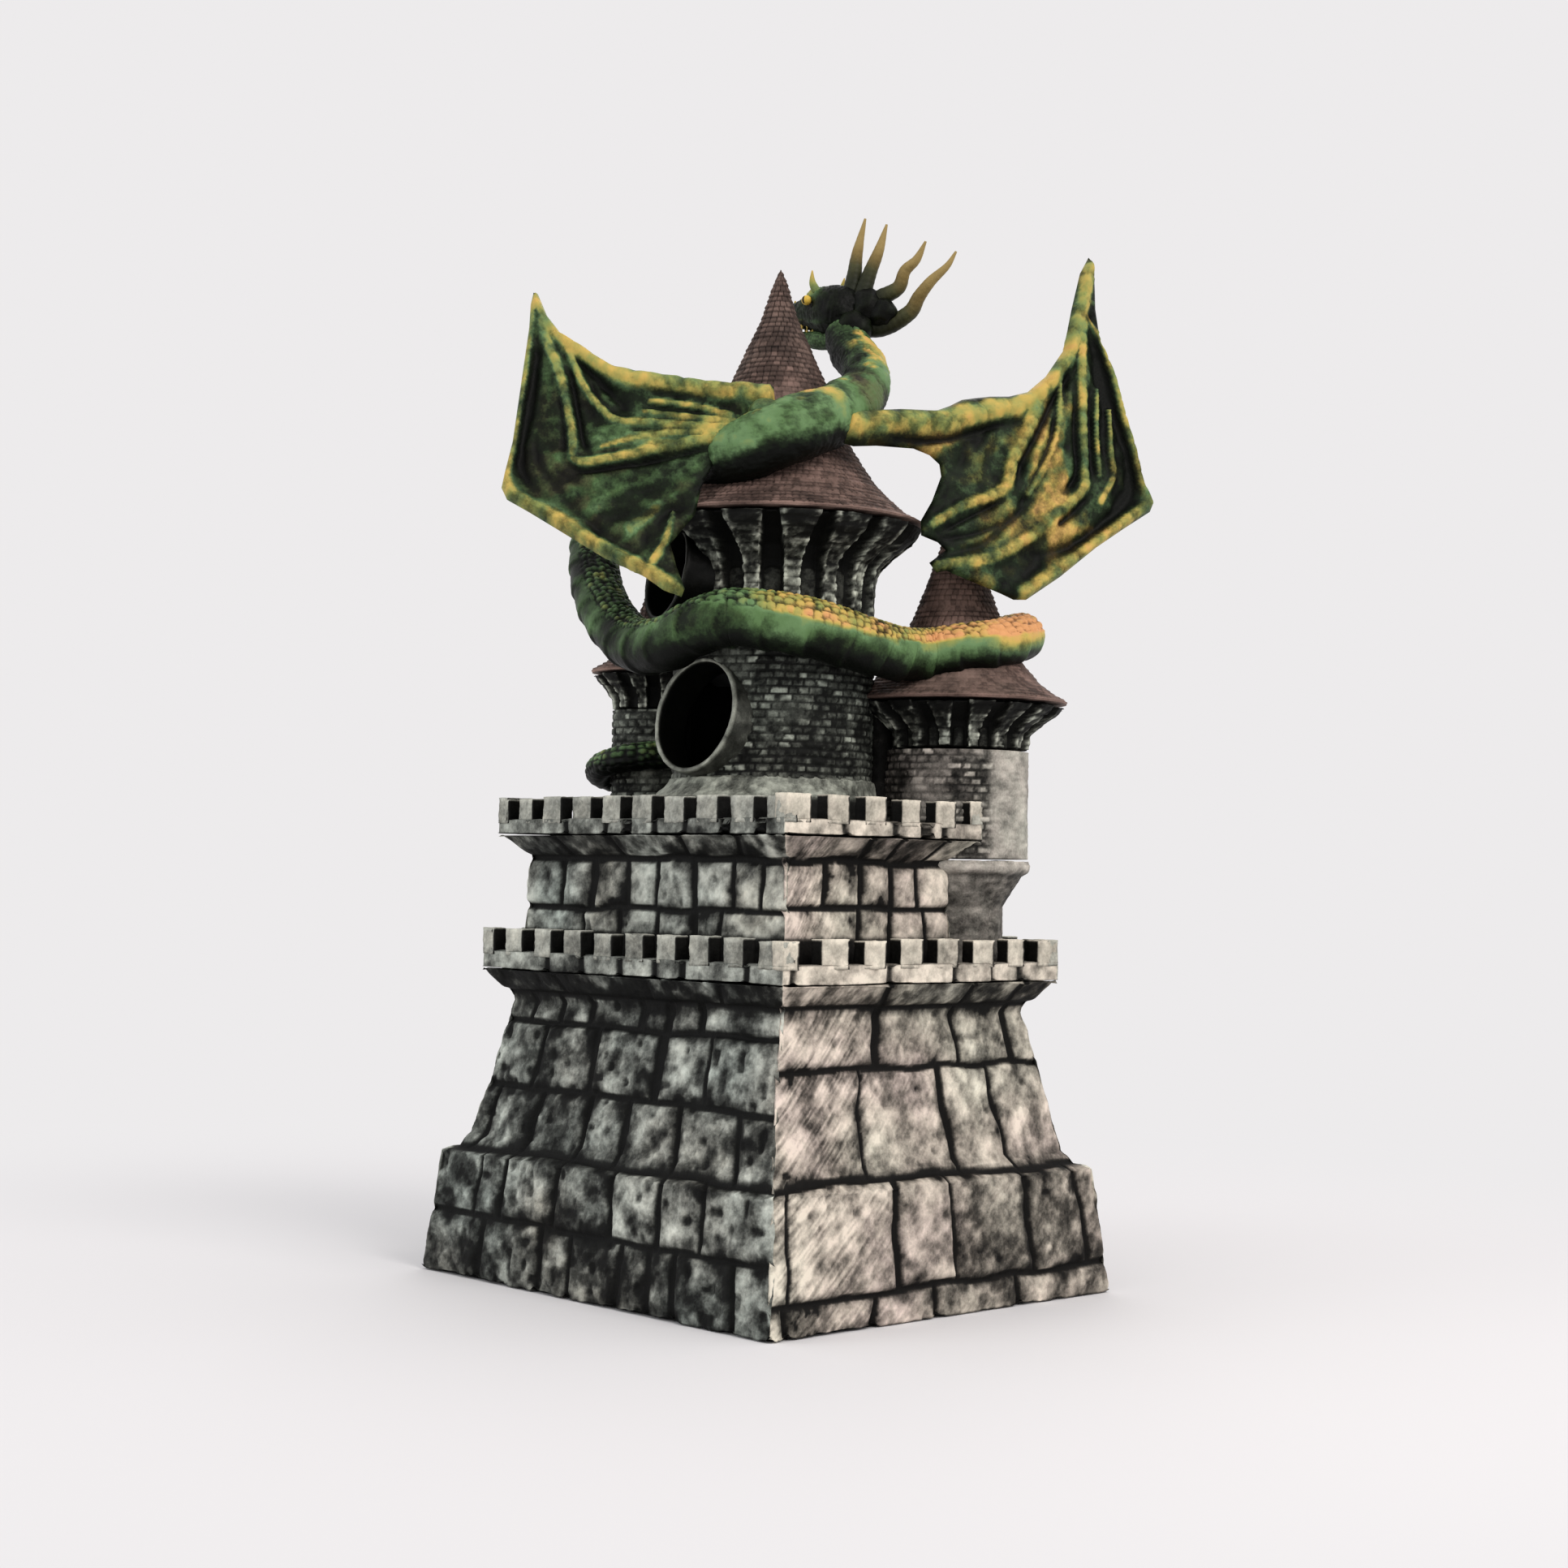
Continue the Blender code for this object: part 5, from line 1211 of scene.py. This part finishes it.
def ball(rings, columns, pole):
    """A ball of radius 1 in rings, the first and last this angle from its poles."""
    a = np.linspace(-math.pi / 2 + pole, math.pi / 2 - pole, rings)
    return turned_grid(np.stack([np.cos(a), np.sin(a)], -1), (0.0, 0.0), columns)[0]


def lump(piece, centre, radii, seed, light, hue, wrinkle=0.3):
    """A rough rounded muscle or knob."""
    grid = ball(26, 40, 0.08) * np.array(radii) + np.array(centre)
    rough = fbm(grid, 2.6, seed)
    piece.add(grid, wrinkle * rough, light + 0.16 * rough, hue)


def spike(piece, knots, light, hue, columns=20, rings=0.0):
    """A tapering spike, ridged round when rings is more than 0."""
    first, last = np.array(knots[0][:3], float), np.array(knots[-1][:3], float)
    aim = (last - first) / np.linalg.norm(last - first)
    up = (0.0, 1.0, 0.0) if abs(aim[2]) > 0.6 else (0.0, 0.0, 1.0)
    grid, s, phi, _ = limb(knots, 0.4, columns, up)
    share = (s / s[-1])[:, None]
    ridge = np.sin(s * 3.6)[:, None]
    rough = fbm(grid, 2.2, 51)
    height = 0.1 * ridge * rings * (1 - share) + 0.12 * rough * (1 - share)
    piece.add(grid, height, light(share) + 0.1 * rough + 0.05 * ridge * rings, hue(share) + 0 * phi)


def head_pieces():
    """A long narrow skull with brows, nostrils, a ridge of spikes, an open jaw with teeth, eyes and horns."""
    grid, s, phi, radius = limb(SKULL, 0.42, 84)
    small, _ = scales(s, phi, radius, 1.25, 61)
    degrees = np.degrees(phi)[None] * np.ones((len(s), 1))
    x = grid[..., 0]

    def both_sides(angle, width):
        return bell(degrees, angle, width) + bell(degrees, 360 - angle, width)

    brow = bell(x, -0.5, 3.6) * both_sides(48, 20)
    socket = bell(x, -0.5, 2.2) * both_sides(76, 12)
    nostril = bell(x, -16, 1.6) * both_sides(45, 16)
    lip = both_sides(122, 8)
    rough = fbm(grid, 3.2, 62)
    height = 0.28 * small + 1.3 * brow - 0.9 * socket - 0.7 * nostril + 0.5 * lip + 0.4 * rough - 0.35
    light = 0.15 + 0.1 * small + 0.42 * brow - 0.3 * socket - 0.3 * nostril + 0.16 * lip + 0.14 * rough
    hue = 0.32 + 0.36 * brow + 0.2 * lip + 0.16 * smooth(-x, -2, 12)
    light = light - 0.2 * smooth(x, 2, 8)
    piece = Piece()
    piece.add(grid, height, light, hue)
    for centre, radii in (((14.5, 22.8, 293.5), (6.0, 4.6, 6.0)), ((18.5, 24.8, 291.5), (6.5, 4.0, 4.6)),
                          ((12.5, 20.0, 287.0), (6.4, 5.6, 5.0))):
        lump(piece, centre, radii, 64, 0.04, 0.3, 0.7)
    pale, ochre = (lambda q: 0.5 + 0.2 * q), (lambda q: 0.55 + 0.25 * q)
    tooth = (lambda q: 0.85 + 0 * q), (lambda q: 0.8 + 0 * q)
    for y, lean in ((14.8, -1.0), (25.4, 1.0)):
        spike(piece, [(1.5, y, 299.0, 1.5), (0.6, y + lean, 302.0, 1.0), (1.0, y + 1.6 * lean, 305.5, 0.2)],
              pale, ochre)
        spike(piece, [(7.0, y - lean, 289.0, 1.6), (11.0, y - 0.2 * lean, 286.4, 1.0), (15.0, y, 286.0, 0.2)],
              pale, ochre)
    for k in range(4):
        spike(piece, [(-3.5 - 3.6 * k, 20.2, 299.2 - 0.7 * k, 1.0),
                      (-3.0 - 3.6 * k, 20.2, 302.0 - 0.8 * k, 0.2)], pale, ochre, 12)
    for k in range(6):
        for y in (17.6, 23.6):
            at = -17.0 + 2.3 * k
            spike(piece, [(at, y, 290.9, 0.5), (at, y, 289.0, 0.12)], *tooth, 8)
    piece.make("head", SKIN)
    grid, s, phi, radius = limb(JAW, 0.42, 48)
    small, _ = scales(s, phi, radius, 1.1, 63)
    piece = Piece()
    piece.add(grid, 0.22 * small - 0.1, 0.34 + 0.2 * small, 0.46)
    for k in range(5):
        for y in (17.9, 22.0):
            at = -13.6 + 2.6 * k
            base = 288.8 - 0.24 * k
            spike(piece, [(at, y, base, 0.45), (at, y, base + 1.4, 0.12)], *tooth, 8)
    piece.make("lower_jaw", SKIN)
    for name in ("eye_left", "eye_right"):
        centre = cad_centre(name)
        away = np.sign(centre[1] - 20.0)
        grid = ball(22, 36, 0.06)
        pupil = np.hypot(grid[..., 0] / 0.28, grid[..., 2] / 0.8) < 1
        front = grid[..., 1] * away > 0.3
        dark = pupil & front
        shell(name, EYE, centre + grid * EYE_RADIUS, 0.0, np.where(dark, 0.0, 0.85),
              np.where(dark, 0.0, 1.0))
    for name, knots in HORNS.items():
        piece = Piece()
        spike(piece, knots, lambda q: 0.24 + 0.46 * q, lambda q: 0.02 + 1.0 * smooth(q, 0.15, 0.8), 30, 0.5)
        piece.make(name, HORN)


# ---------------------------------------------------------------- wings

LEFT_WING = {
    "root": (32.5, -29.6, 255.2), "turn": 225.6, "theta": 107.0, "seen": -1,
    "outline": [(0, -4), (1, 4.5), (9, 5.2), (14, 5), (24.5, 6), (32, 7.6), (40.5, 9), (47.5, 10.5), (52, 13.5),
                (56.5, 17), (62.5, 20.5), (67, 26.5), (70, 33.5), (71.3, 34), (71.9, 30), (71.9, 22.5), (73, 7),
                (74.5, -14), (76.2, -24), (76.8, -28.5), (75, -32.2), (68.5, -36), (60.5, -41), (47, -49.5),
                (35.5, -55), (30, -59), (24.8, -61), (24, -58.5), (26.5, -52), (28.5, -45), (22, -36),
                (20.5, -27.5), (16, -17), (9, -10), (3, -7)],
    "bones": [  # (line, radius at its start, radius at its end, spacing of its beads)
        ([(-1, -1), (9, 1.5), (18, 2), (29.5, 4), (40, 5.5), (47, 7.5), (54.5, 12.5), (63, 19.5), (67.5, 26),
          (70.8, 32.5)], 4.2, 1.7, 7.0),
        ([(68, 24), (66.3, 17), (63, 10), (60.2, 0), (57.7, -11), (57, -18)], 1.7, 1.5, 3.6),
        ([(56.5, -20), (53.5, -21), (43.5, -19), (31, -16), (14.5, -12)], 1.6, 2.2, 6.0),
        ([(60, 15), (55.5, 4), (50.5, -3), (45, -7.6), (35, -8.2), (23, -9), (12, -9.6)], 1.2, 1.6, 5.0),
        ([(37.5, -4.5), (26, -6), (12, -7.5)], 0.8, 1.4, 5.0),
        ([(36, -1.2), (24, -2.6), (13, -5.5)], 0.8, 1.4, 5.0),
        ([(49, -16), (37, -12.4), (23, -11), (13, -10.8)], 0.8, 1.6, 5.0),
        ([(71.3, 31), (71.3, 23), (72.3, 8), (73.3, -3), (74.5, -16), (75.6, -25)], 1.2, 1.7, 4.2),
        ([(75.6, -27), (73.5, -31), (68, -34.6), (59, -39.6), (51, -45), (42, -50.2), (33, -55), (26, -59.3)],
         2.3, 2.6, 5.4),
        ([(33, -51), (30, -45), (28, -36)], 1.6, 0.8, 5.0)],
    "folds": [  # (line, width, depth)
        ([(68.6, 18), (69.5, 5), (70.5, -6), (71.8, -15.5), (71, -23.5), (66, -31)], 1.7, 1.9),
        ([(60.5, 12.6), (55, 9.8), (49.5, 4), (45, -1), (41, -5)], 1.5, 1.9),
        ([(53.5, 5.5), (50, -2.5), (47.5, -7)], 0.8, 1.3),
        ([(59, 8), (57, -2), (55.5, -9), (54, -15), (52, -18)], 1.0, 1.5),
        ([(61.8, 2), (60, -10), (59.4, -19)], 0.8, 1.2),
        ([(58, -21.5), (54, -23.4), (44.5, -22), (31, -19), (17, -15)], 1.0, 1.6),
        ([(36.5, 2), (31, 0.8), (20, -0.5)], 1.0, 1.6),
        ([(42, -10.4), (32, -10.4), (20, -10.2)], 0.6, 1.0), ([(36, -6.5), (25, -7.6), (14, -8.6)], 0.5, 0.9),
        ([(36, -2.9), (25, -4.3), (15, -6.6)], 0.5, 0.9), ([(30, -27.5), (39.5, -30), (46, -33.5)], 1.6, 0.9),
        ([(18, -32.5), (28, -34.5), (39.5, -37), (48, -37)], 1.8, 0.9),
        ([(68, -13), (66.5, -20.5), (62.5, -27)], 1.3, 1.0),
        ([(62, -26), (58, -33), (48, -42), (38, -49)], 1.6, 0.7),
        ([(9, -13), (15, -16), (17, -22), (22, -31)], 2.4, 1.5)],
    "fan": (6, -8), "crest": 3.0, "glow": [((36, -2), 12), ((18, -11), 11), ((30, -22), 6)], "warm": 0.0,
}
RIGHT_WING = {
    "root": (42.7, -12.9, 247.9), "turn": 66.0, "theta": 85.0, "seen": 1,
    "outline": [(-2, -3.5), (0, 4.5), (4.5, 6), (18, 7.6), (29, 8), (33, 9.6), (37, 11.8), (41, 12.6),
                (46, 13.5), (52, 14), (58, 15.8), (64, 21), (70, 29.5), (73, 42.5), (76, 53.5), (79, 58.8),
                (80.6, 57), (80.8, 49), (80.8, 43), (82, 34), (86.8, 23), (89.8, 11), (93, 0.8), (95, -9),
                (98.3, -14.8), (97, -17.6), (88, -23.4), (79, -29.5), (67, -39), (56, -46.4), (52, -46.6),
                (48, -45), (31, -39.2), (28, -40), (25.8, -37.2), (31, -33.2), (28.5, -31), (23.4, -29.3),
                (23.4, -25), (27, -19), (30, -11.5), (29.5, -8), (26.5, -5.5), (21.5, -3.9), (10, -3.9),
                (3, -4.6)],
    "bones": [
        ([(-2, 1), (8, 2.2), (18, 3.2), (30.5, 4.6), (43.5, 8.4), (53, 10.6)], 4.6, 3.4, 9.0),
        ([(53, 10.6), (60.5, 15.2), (70, 27), (75, 41), (78.6, 55)], 3.0, 2.2, 6.5),
        ([(59.5, 11.5), (56.5, 3), (52, -5), (49.8, -13), (44, -17), (36, -20), (26.5, -26)], 2.6, 1.5, 3.8),
        ([(76, 38), (75.2, 28), (75, 10.5), (75, -7), (74.8, -12), (69.5, -17.5), (64, -21.5)], 1.5, 1.7, 3.4),
        ([(64, -21.5), (59.5, -26), (53, -30.4), (44, -35), (28, -38)], 2.0, 1.8, 4.0),
        ([(81.4, 36), (85.6, 23), (88.8, 11), (92, 0), (94, -9), (96, -14)], 1.2, 1.8, 4.4),
        ([(96, -15.5), (88, -21.4), (77.5, -29), (66.5, -37), (55, -44.6)], 2.0, 3.0, 6.0),
        ([(68, 20), (67, 6), (62.5, -6), (57, -15)], 0.9, 1.2, 4.5),
        ([(84, 12), (84, 0), (84.5, -8), (80, -16)], 0.8, 1.3, 5.0),
        ([(80, 18), (79.5, 4), (80, -8)], 0.8, 0.9, 5.0)],
    "folds": [
        ([(73.3, 24), (66.5, 15), (61.5, 6), (56.5, -3), (53, -12)], 1.3, 1.9),
        ([(66.5, 11), (64.6, 0), (59.5, -10.5), (53.5, -20)], 1.3, 1.8),
        ([(73.2, 15), (72.4, 4), (73, -7.5), (68.5, -14)], 1.1, 1.7),
        ([(79.8, 33), (82, 19), (87, 7), (90.3, -2), (90, -11), (84, -20), (72, -29.4), (61, -33.4)], 2.3, 2.2),
        ([(12, -1.6), (22.5, -2), (31.5, -0.8), (42, 2.8), (52, 6)], 1.2, 1.6),
        ([(31, -30), (41, -27.6), (49.5, -24)], 1.0, 1.2),
        ([(65.5, -24.5), (71.5, -19.6), (76.6, -14.5)], 1.1, 1.6),
        ([(30.5, -27.6), (40.5, -22), (49, -17.6)], 0.7, 1.2),
        ([(58, -17), (50, -24), (42, -31), (32, -34.5)], 1.4, 1.1),
        ([(78, 20), (77.2, 4), (77.6, -8)], 0.9, 1.2),
        ([(47, 2), (44, -6), (42, -13)], 1.6, 0.7), ([(38, 0), (35, -10)], 1.6, 0.6)],
    "fan": (74, 45), "crest": 5.0, "glow": [((40, -4), 9), ((62, -16), 7), ((70, -24), 7), ((45, -27), 6)],
    "warm": 1.0,
}


def to_line(q, line):
    """How far flat points are from a smooth line, how far along it they lie, from 0 to 1, and its length."""
    flat = [(*p, 0.0) for p in line]
    path = catmull(flat, 1.0)[0][:, :2]
    best, place, run = np.full(len(q), 1e9), np.zeros(len(q)), 0.0
    for a, b in zip(path, path[1:]):
        along = b - a
        length = np.linalg.norm(along)
        t = np.clip(((q - a) @ along) / length ** 2, 0, 1)
        d = np.linalg.norm(q - a - t[:, None] * along, axis=1)
        place = np.where(d < best, run + t * length, place)
        best = np.minimum(best, d)
        run += length
    return best, place / run, run


def inside_outline(q, outline):
    """Whether flat points lie inside a closed line, and how far they are from it."""
    odd, best = np.zeros(len(q), bool), np.full(len(q), 1e9)
    for a, b in zip(outline, np.roll(outline, -1, 0)):
        crosses = (a[1] > q[:, 1]) != (b[1] > q[:, 1])
        with np.errstate(divide="ignore", invalid="ignore"):
            x = a[0] + (q[:, 1] - a[1]) / (b[1] - a[1]) * (b[0] - a[0])
        odd ^= crosses & (q[:, 0] < x)
        along = b - a
        t = np.clip(((q - a) @ along) / max(along @ along, 1e-9), 0, 1)
        best = np.minimum(best, np.linalg.norm(q - a - t[:, None] * along, axis=1))
    return odd, best


def wing(name, shape):
    """A leathery wing: beaded bones and deep folds raised on both faces of a thin skin."""
    step = 0.75
    knots = np.array([*shape["outline"], shape["outline"][0]], float)
    outline = resample(knots, step)[:-1]
    low, high = outline.min(0), outline.max(0)
    gx, gy = np.meshgrid(np.arange(low[0], high[0], step), np.arange(low[1], high[1], step * 0.87))
    gx = gx + step / 2 * (np.arange(len(gx)) % 2)[:, None]
    q = np.stack([gx.ravel(), gy.ravel()], -1)
    within, off = inside_outline(q, outline)
    q = q[within & (off > 0.45)]
    n = len(outline)
    flat = [Vector(p) for p in np.vstack([outline, q]).tolist()]
    ring = [(i, (i + 1) % n) for i in range(n)]
    verts, _, faces, _, _, _ = delaunay_2d_cdt(flat, ring, [], 1, 1e-5)
    flat = np.array([tuple(v) for v in verts])
    faces = np.array([f for f in faces if len(f) == 3])
    _, off = inside_outline(flat, outline)
    rim = off < 1e-3
    body, ridge, bone_light = np.zeros(len(flat)), np.zeros(len(flat)), np.zeros(len(flat))
    place = np.stack([flat[:, 0], flat[:, 1], flat[:, 0] * 0], -1)
    for number, (line, start, end, bead) in enumerate(shape["bones"]):
        d, t, length = to_line(flat, line)
        phase = t * length / bead + 0.2 * noise(place, 6, number)
        swell = np.abs(np.sin(math.pi * phase)) ** 0.6
        r = 1.25 * (start + (end - start) * t) * (0.96 + 0.12 * swell)
        up = bell(d, 0, 0.8 * r)
        raised = up * (0.8 * r + 0.3) * (0.86 + 0.18 * swell)
        on = smooth(up, 0.15, 0.75)
        bone_light = np.where(raised > ridge, on * (0.62 + 0.38 * swell), bone_light)
        ridge = np.maximum(ridge, raised)
        body = np.maximum(body, on)
    sunk, dark = np.zeros(len(flat)), np.zeros(len(flat))
    for line, width, depth in shape["folds"]:
        d, t, _ = to_line(flat, line)
        taper = between(t, 0, 0.15, 0.85, 1.0)
        groove = bell(d, 0, width) * (0.35 + 0.65 * taper)
        sunk = np.maximum(sunk, depth * groove)
        dark = np.maximum(dark, groove * min(1.0, depth / 1.5))
    bearing = np.arctan2(flat[:, 1] - shape["fan"][1], flat[:, 0] - shape["fan"][0])
    reach = np.linalg.norm(flat - shape["fan"], axis=1)
    ripples = 0.6 * stretched(bearing * 9, reach / 22, 0, 11)
    ripples += 0.5 * stretched(bearing * 21, reach / 14, 0, 18)
    lumps, crumbs = fbm(place, 7, 12), fbm(place, 2.2, 13, 3)
    skin = 1 - body
    edge = np.sqrt(np.clip(off / 1.3, 0, 1))
    front = (0.9 + ridge + skin * (0.9 * ripples + 0.5 * lumps + 0.5 - sunk) + 0.16 * crumbs) * edge
    back = (0.8 + 0.75 * ridge + skin * (0.35 * lumps - 0.6 * sunk + 0.2) + 0.14 * crumbs) * edge
    front, back = np.maximum(front, -0.5 * edge), np.maximum(back, 0.85 * edge)
    patchy = fbm(place, 5, 19)
    light = skin * (0.37 + 0.3 * ripples + 0.14 * lumps) + body * (0.26 + 0.3 * bone_light + 0.16
            * patchy) + 0.14 * crumbs
    light = light * (1 - 0.97 * dark * skin ** 0.5) - 0.02 + 0.12 * body * smooth(flat[:, 1] - shape["crest"],
            -2, 4)
    hue = skin * (0.36 + 0.08 * lumps + 0.3 * smooth(ripples + 0.4 * patchy, 0.15,
                                                     0.8)) + body * (0.68 + 0.16 * patchy)
    for middle, size in shape["glow"]:
        spot = bell(np.linalg.norm(flat - middle, axis=1), 0, size) * skin
        hue += 0.16 * spot
        light += 0.1 * spot
    patches = smooth(fbm(place, 11, 14), 0.0, 0.55) * skin
    hue += patches * (0.16 if shape["warm"] else -0.16)
    hue += shape["warm"] * (0.1 * smooth(fbm(place, 6, 15), 0.1, 0.6) + 0.1 * skin)
    hue = np.minimum(hue, 0.84)
    light = light - skin * (0.05 + 0.05 * shape["warm"])
    turn, theta = math.radians(shape["turn"]), math.radians(shape["theta"])
    out = np.array([math.cos(turn), math.sin(turn), 0.0])
    up = np.array([-math.sin(turn) * math.cos(theta), math.cos(turn) * math.cos(theta), math.sin(theta)])
    normal = np.cross(out, up)
    seen = shape["seen"]
    flat_place = np.array(shape["root"]) + flat[:, :1] * out + flat[:, 1:] * up
    near = flat_place + normal * seen * np.where(rim, 0, front)[:, None]
    far = flat_place - normal * seen * np.where(rim, 0, back)[:, None]
    count = len(flat)
    far_index = np.where(rim, np.arange(count), count + np.cumsum(~rim) - 1)
    points = np.vstack([near, far[~rim]])
    flipped = far_index[faces][:, ::-1]
    piece = Piece()
    back_light = np.clip(light * 0.8 + 0.02, 0, 1)
    piece.add_raw(points, np.zeros((0, 4), int), np.vstack([faces, flipped]),
                  np.concatenate([light, back_light[~rim]]),
                  np.concatenate([hue, hue[~rim]]))
    piece.make(name, WING)


tail_pieces()
body_pieces()
head_pieces()
wing("wing_left", LEFT_WING)
wing("wing_right", RIGHT_WING)


# ---------------------------------------------------------------- carried-over pieces, floor, lights and camera

def carried_over():
    """Hidden flat plates keep their CAD mesh, with eased edges and painted resin."""
    for name in ("base_plate", "port_deflector", "drop_chute", "keep_baffle", "ramp_cheek_left",
                 "ramp_cheek_right", "exit_ramp"):
        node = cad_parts[name]
        bevel = node.modifiers.new("Eased edges", "BEVEL")
        bevel.width = 0.35 * MM
        bevel.segments = 2
        bevel.limit_method = "ANGLE"
        material, slot = STONE if name == "base_plate" else INNER
        node.data.materials.clear()
        node.data.materials.append(material)


SURROUND = (0.847, 0.831, 0.838, 1.0)
PAPER = (0.742, 0.734, 0.741, 1.0)
FADE = (0.16, 0.5)  # metres from the middle over which the floor turns into the surround
LAMPS = [  # name, place, what it faces, size, power, colour
    ("key_light", (1.1, -0.05, 1.0), (0, 0, 0.14), 0.6, 9.0, (1.0, 0.95, 0.92)),
    ("fill_light", (-0.5, -1.2, 0.55), (0, 0, 0.15), 0.7, 3.0, (0.93, 0.98, 1.0)),
    ("rim_light", (-0.9, 0.9, 0.9), (0, 0, 0.15), 0.7, 3.0, (1.0, 1.0, 1.0)),
]
CAMERA_PLACE = (0.5554, -0.5107, 0.1198)
CAMERA_ANGLES = (47.06, 2.126, 1.0146)  # degrees it is turned, looks up and rolls
CAMERA_LENS = 57.716


def stage():
    """A plain pale floor that fades into an even surround, soft lights and the camera."""
    scene = bpy.context.scene
    scene.view_settings.view_transform = "Standard"
    world = bpy.data.worlds.new("surround")
    scene.world = world
    world.use_nodes = True
    world.node_tree.nodes["Background"].inputs["Color"].default_value = SURROUND
    world.node_tree.nodes["Background"].inputs["Strength"].default_value = 1.0
    rings, columns = np.array([0.02, 0.1, 0.2, 0.35, 0.6, 1.0, 2.0, 5.0, 12.0, 30.0]), 96
    grid = around((0.0, 0.0), rings[:, None], ring_angles(columns), 0.0) / MM
    index = np.arange(len(rings) * columns).reshape(len(rings), columns)
    quads = np.stack([index[:-1], index[1:], np.roll(index[1:], -1, 1), np.roll(index[:-1], -1, 1)],
                     -1).reshape(-1, 4)
    middle = np.vstack([grid.reshape(-1, 3), [[0, 0, 0]]])
    fan = np.stack([index[0], np.roll(index[0], -1), np.full(columns, len(middle) - 1)], -1)
    floor = bpy.data.objects.new("floor", new_mesh("floor", middle - (0, 0, 0.3), quads, fan))
    scene.collection.objects.link(floor)
    material = bpy.data.materials.new("floor_paper")
    material.use_nodes = True
    nodes, links = material.node_tree.nodes, material.node_tree.links
    nodes.remove(nodes["Principled BSDF"])
    paper = nodes.new("ShaderNodeBsdfDiffuse")
    paper.inputs["Color"].default_value = PAPER
    glow = nodes.new("ShaderNodeEmission")
    glow.inputs["Color"].default_value = SURROUND
    place = nodes.new("ShaderNodeTexCoord")
    length = nodes.new("ShaderNodeVectorMath")
    length.operation = "LENGTH"
    fade = nodes.new("ShaderNodeMapRange")
    fade.interpolation_type = "SMOOTHSTEP"
    fade.inputs["From Min"].default_value, fade.inputs["From Max"].default_value = FADE
    mix = nodes.new("ShaderNodeMixShader")
    links.new(place.outputs["Object"], length.inputs[0])
    links.new(length.outputs["Value"], fade.inputs["Value"])
    links.new(fade.outputs["Result"], mix.inputs["Fac"])
    links.new(paper.outputs["BSDF"], mix.inputs[1])
    links.new(glow.outputs["Emission"], mix.inputs[2])
    links.new(mix.outputs["Shader"], nodes["Material Output"].inputs["Surface"])
    floor.data.materials.append(material)
    for name, where, aim, size, power, colour in LAMPS:
        data = bpy.data.lights.new(name, "AREA")
        data.energy, data.size, data.color = power, size, colour
        lamp = bpy.data.objects.new(name, data)
        lamp.location = where
        lamp.rotation_euler = (Vector(aim) - Vector(where)).to_track_quat("-Z", "Y").to_euler()
        scene.collection.objects.link(lamp)

    turn, pitch, roll = (math.radians(v) for v in CAMERA_ANGLES)
    away = Vector((math.sin(turn), -math.cos(turn), 0.0))
    forward = (-away * math.cos(pitch) + Vector((0, 0, math.sin(pitch)))).normalized()
    level = forward.cross(Vector((0, 0, 1))).normalized()
    upright = level.cross(forward)
    right = level * math.cos(roll) + upright * math.sin(roll)
    up = upright * math.cos(roll) - level * math.sin(roll)
    camera = bpy.data.objects.new("camera", bpy.data.cameras.new("camera"))
    camera.data.lens = CAMERA_LENS
    camera.data.clip_end = 100.0
    camera.matrix_world = Matrix.Translation(CAMERA_PLACE) @ Matrix((right, up, -forward)).transposed().to_4x4()
    scene.collection.objects.link(camera)
    scene.camera = camera


carried_over()
stage()
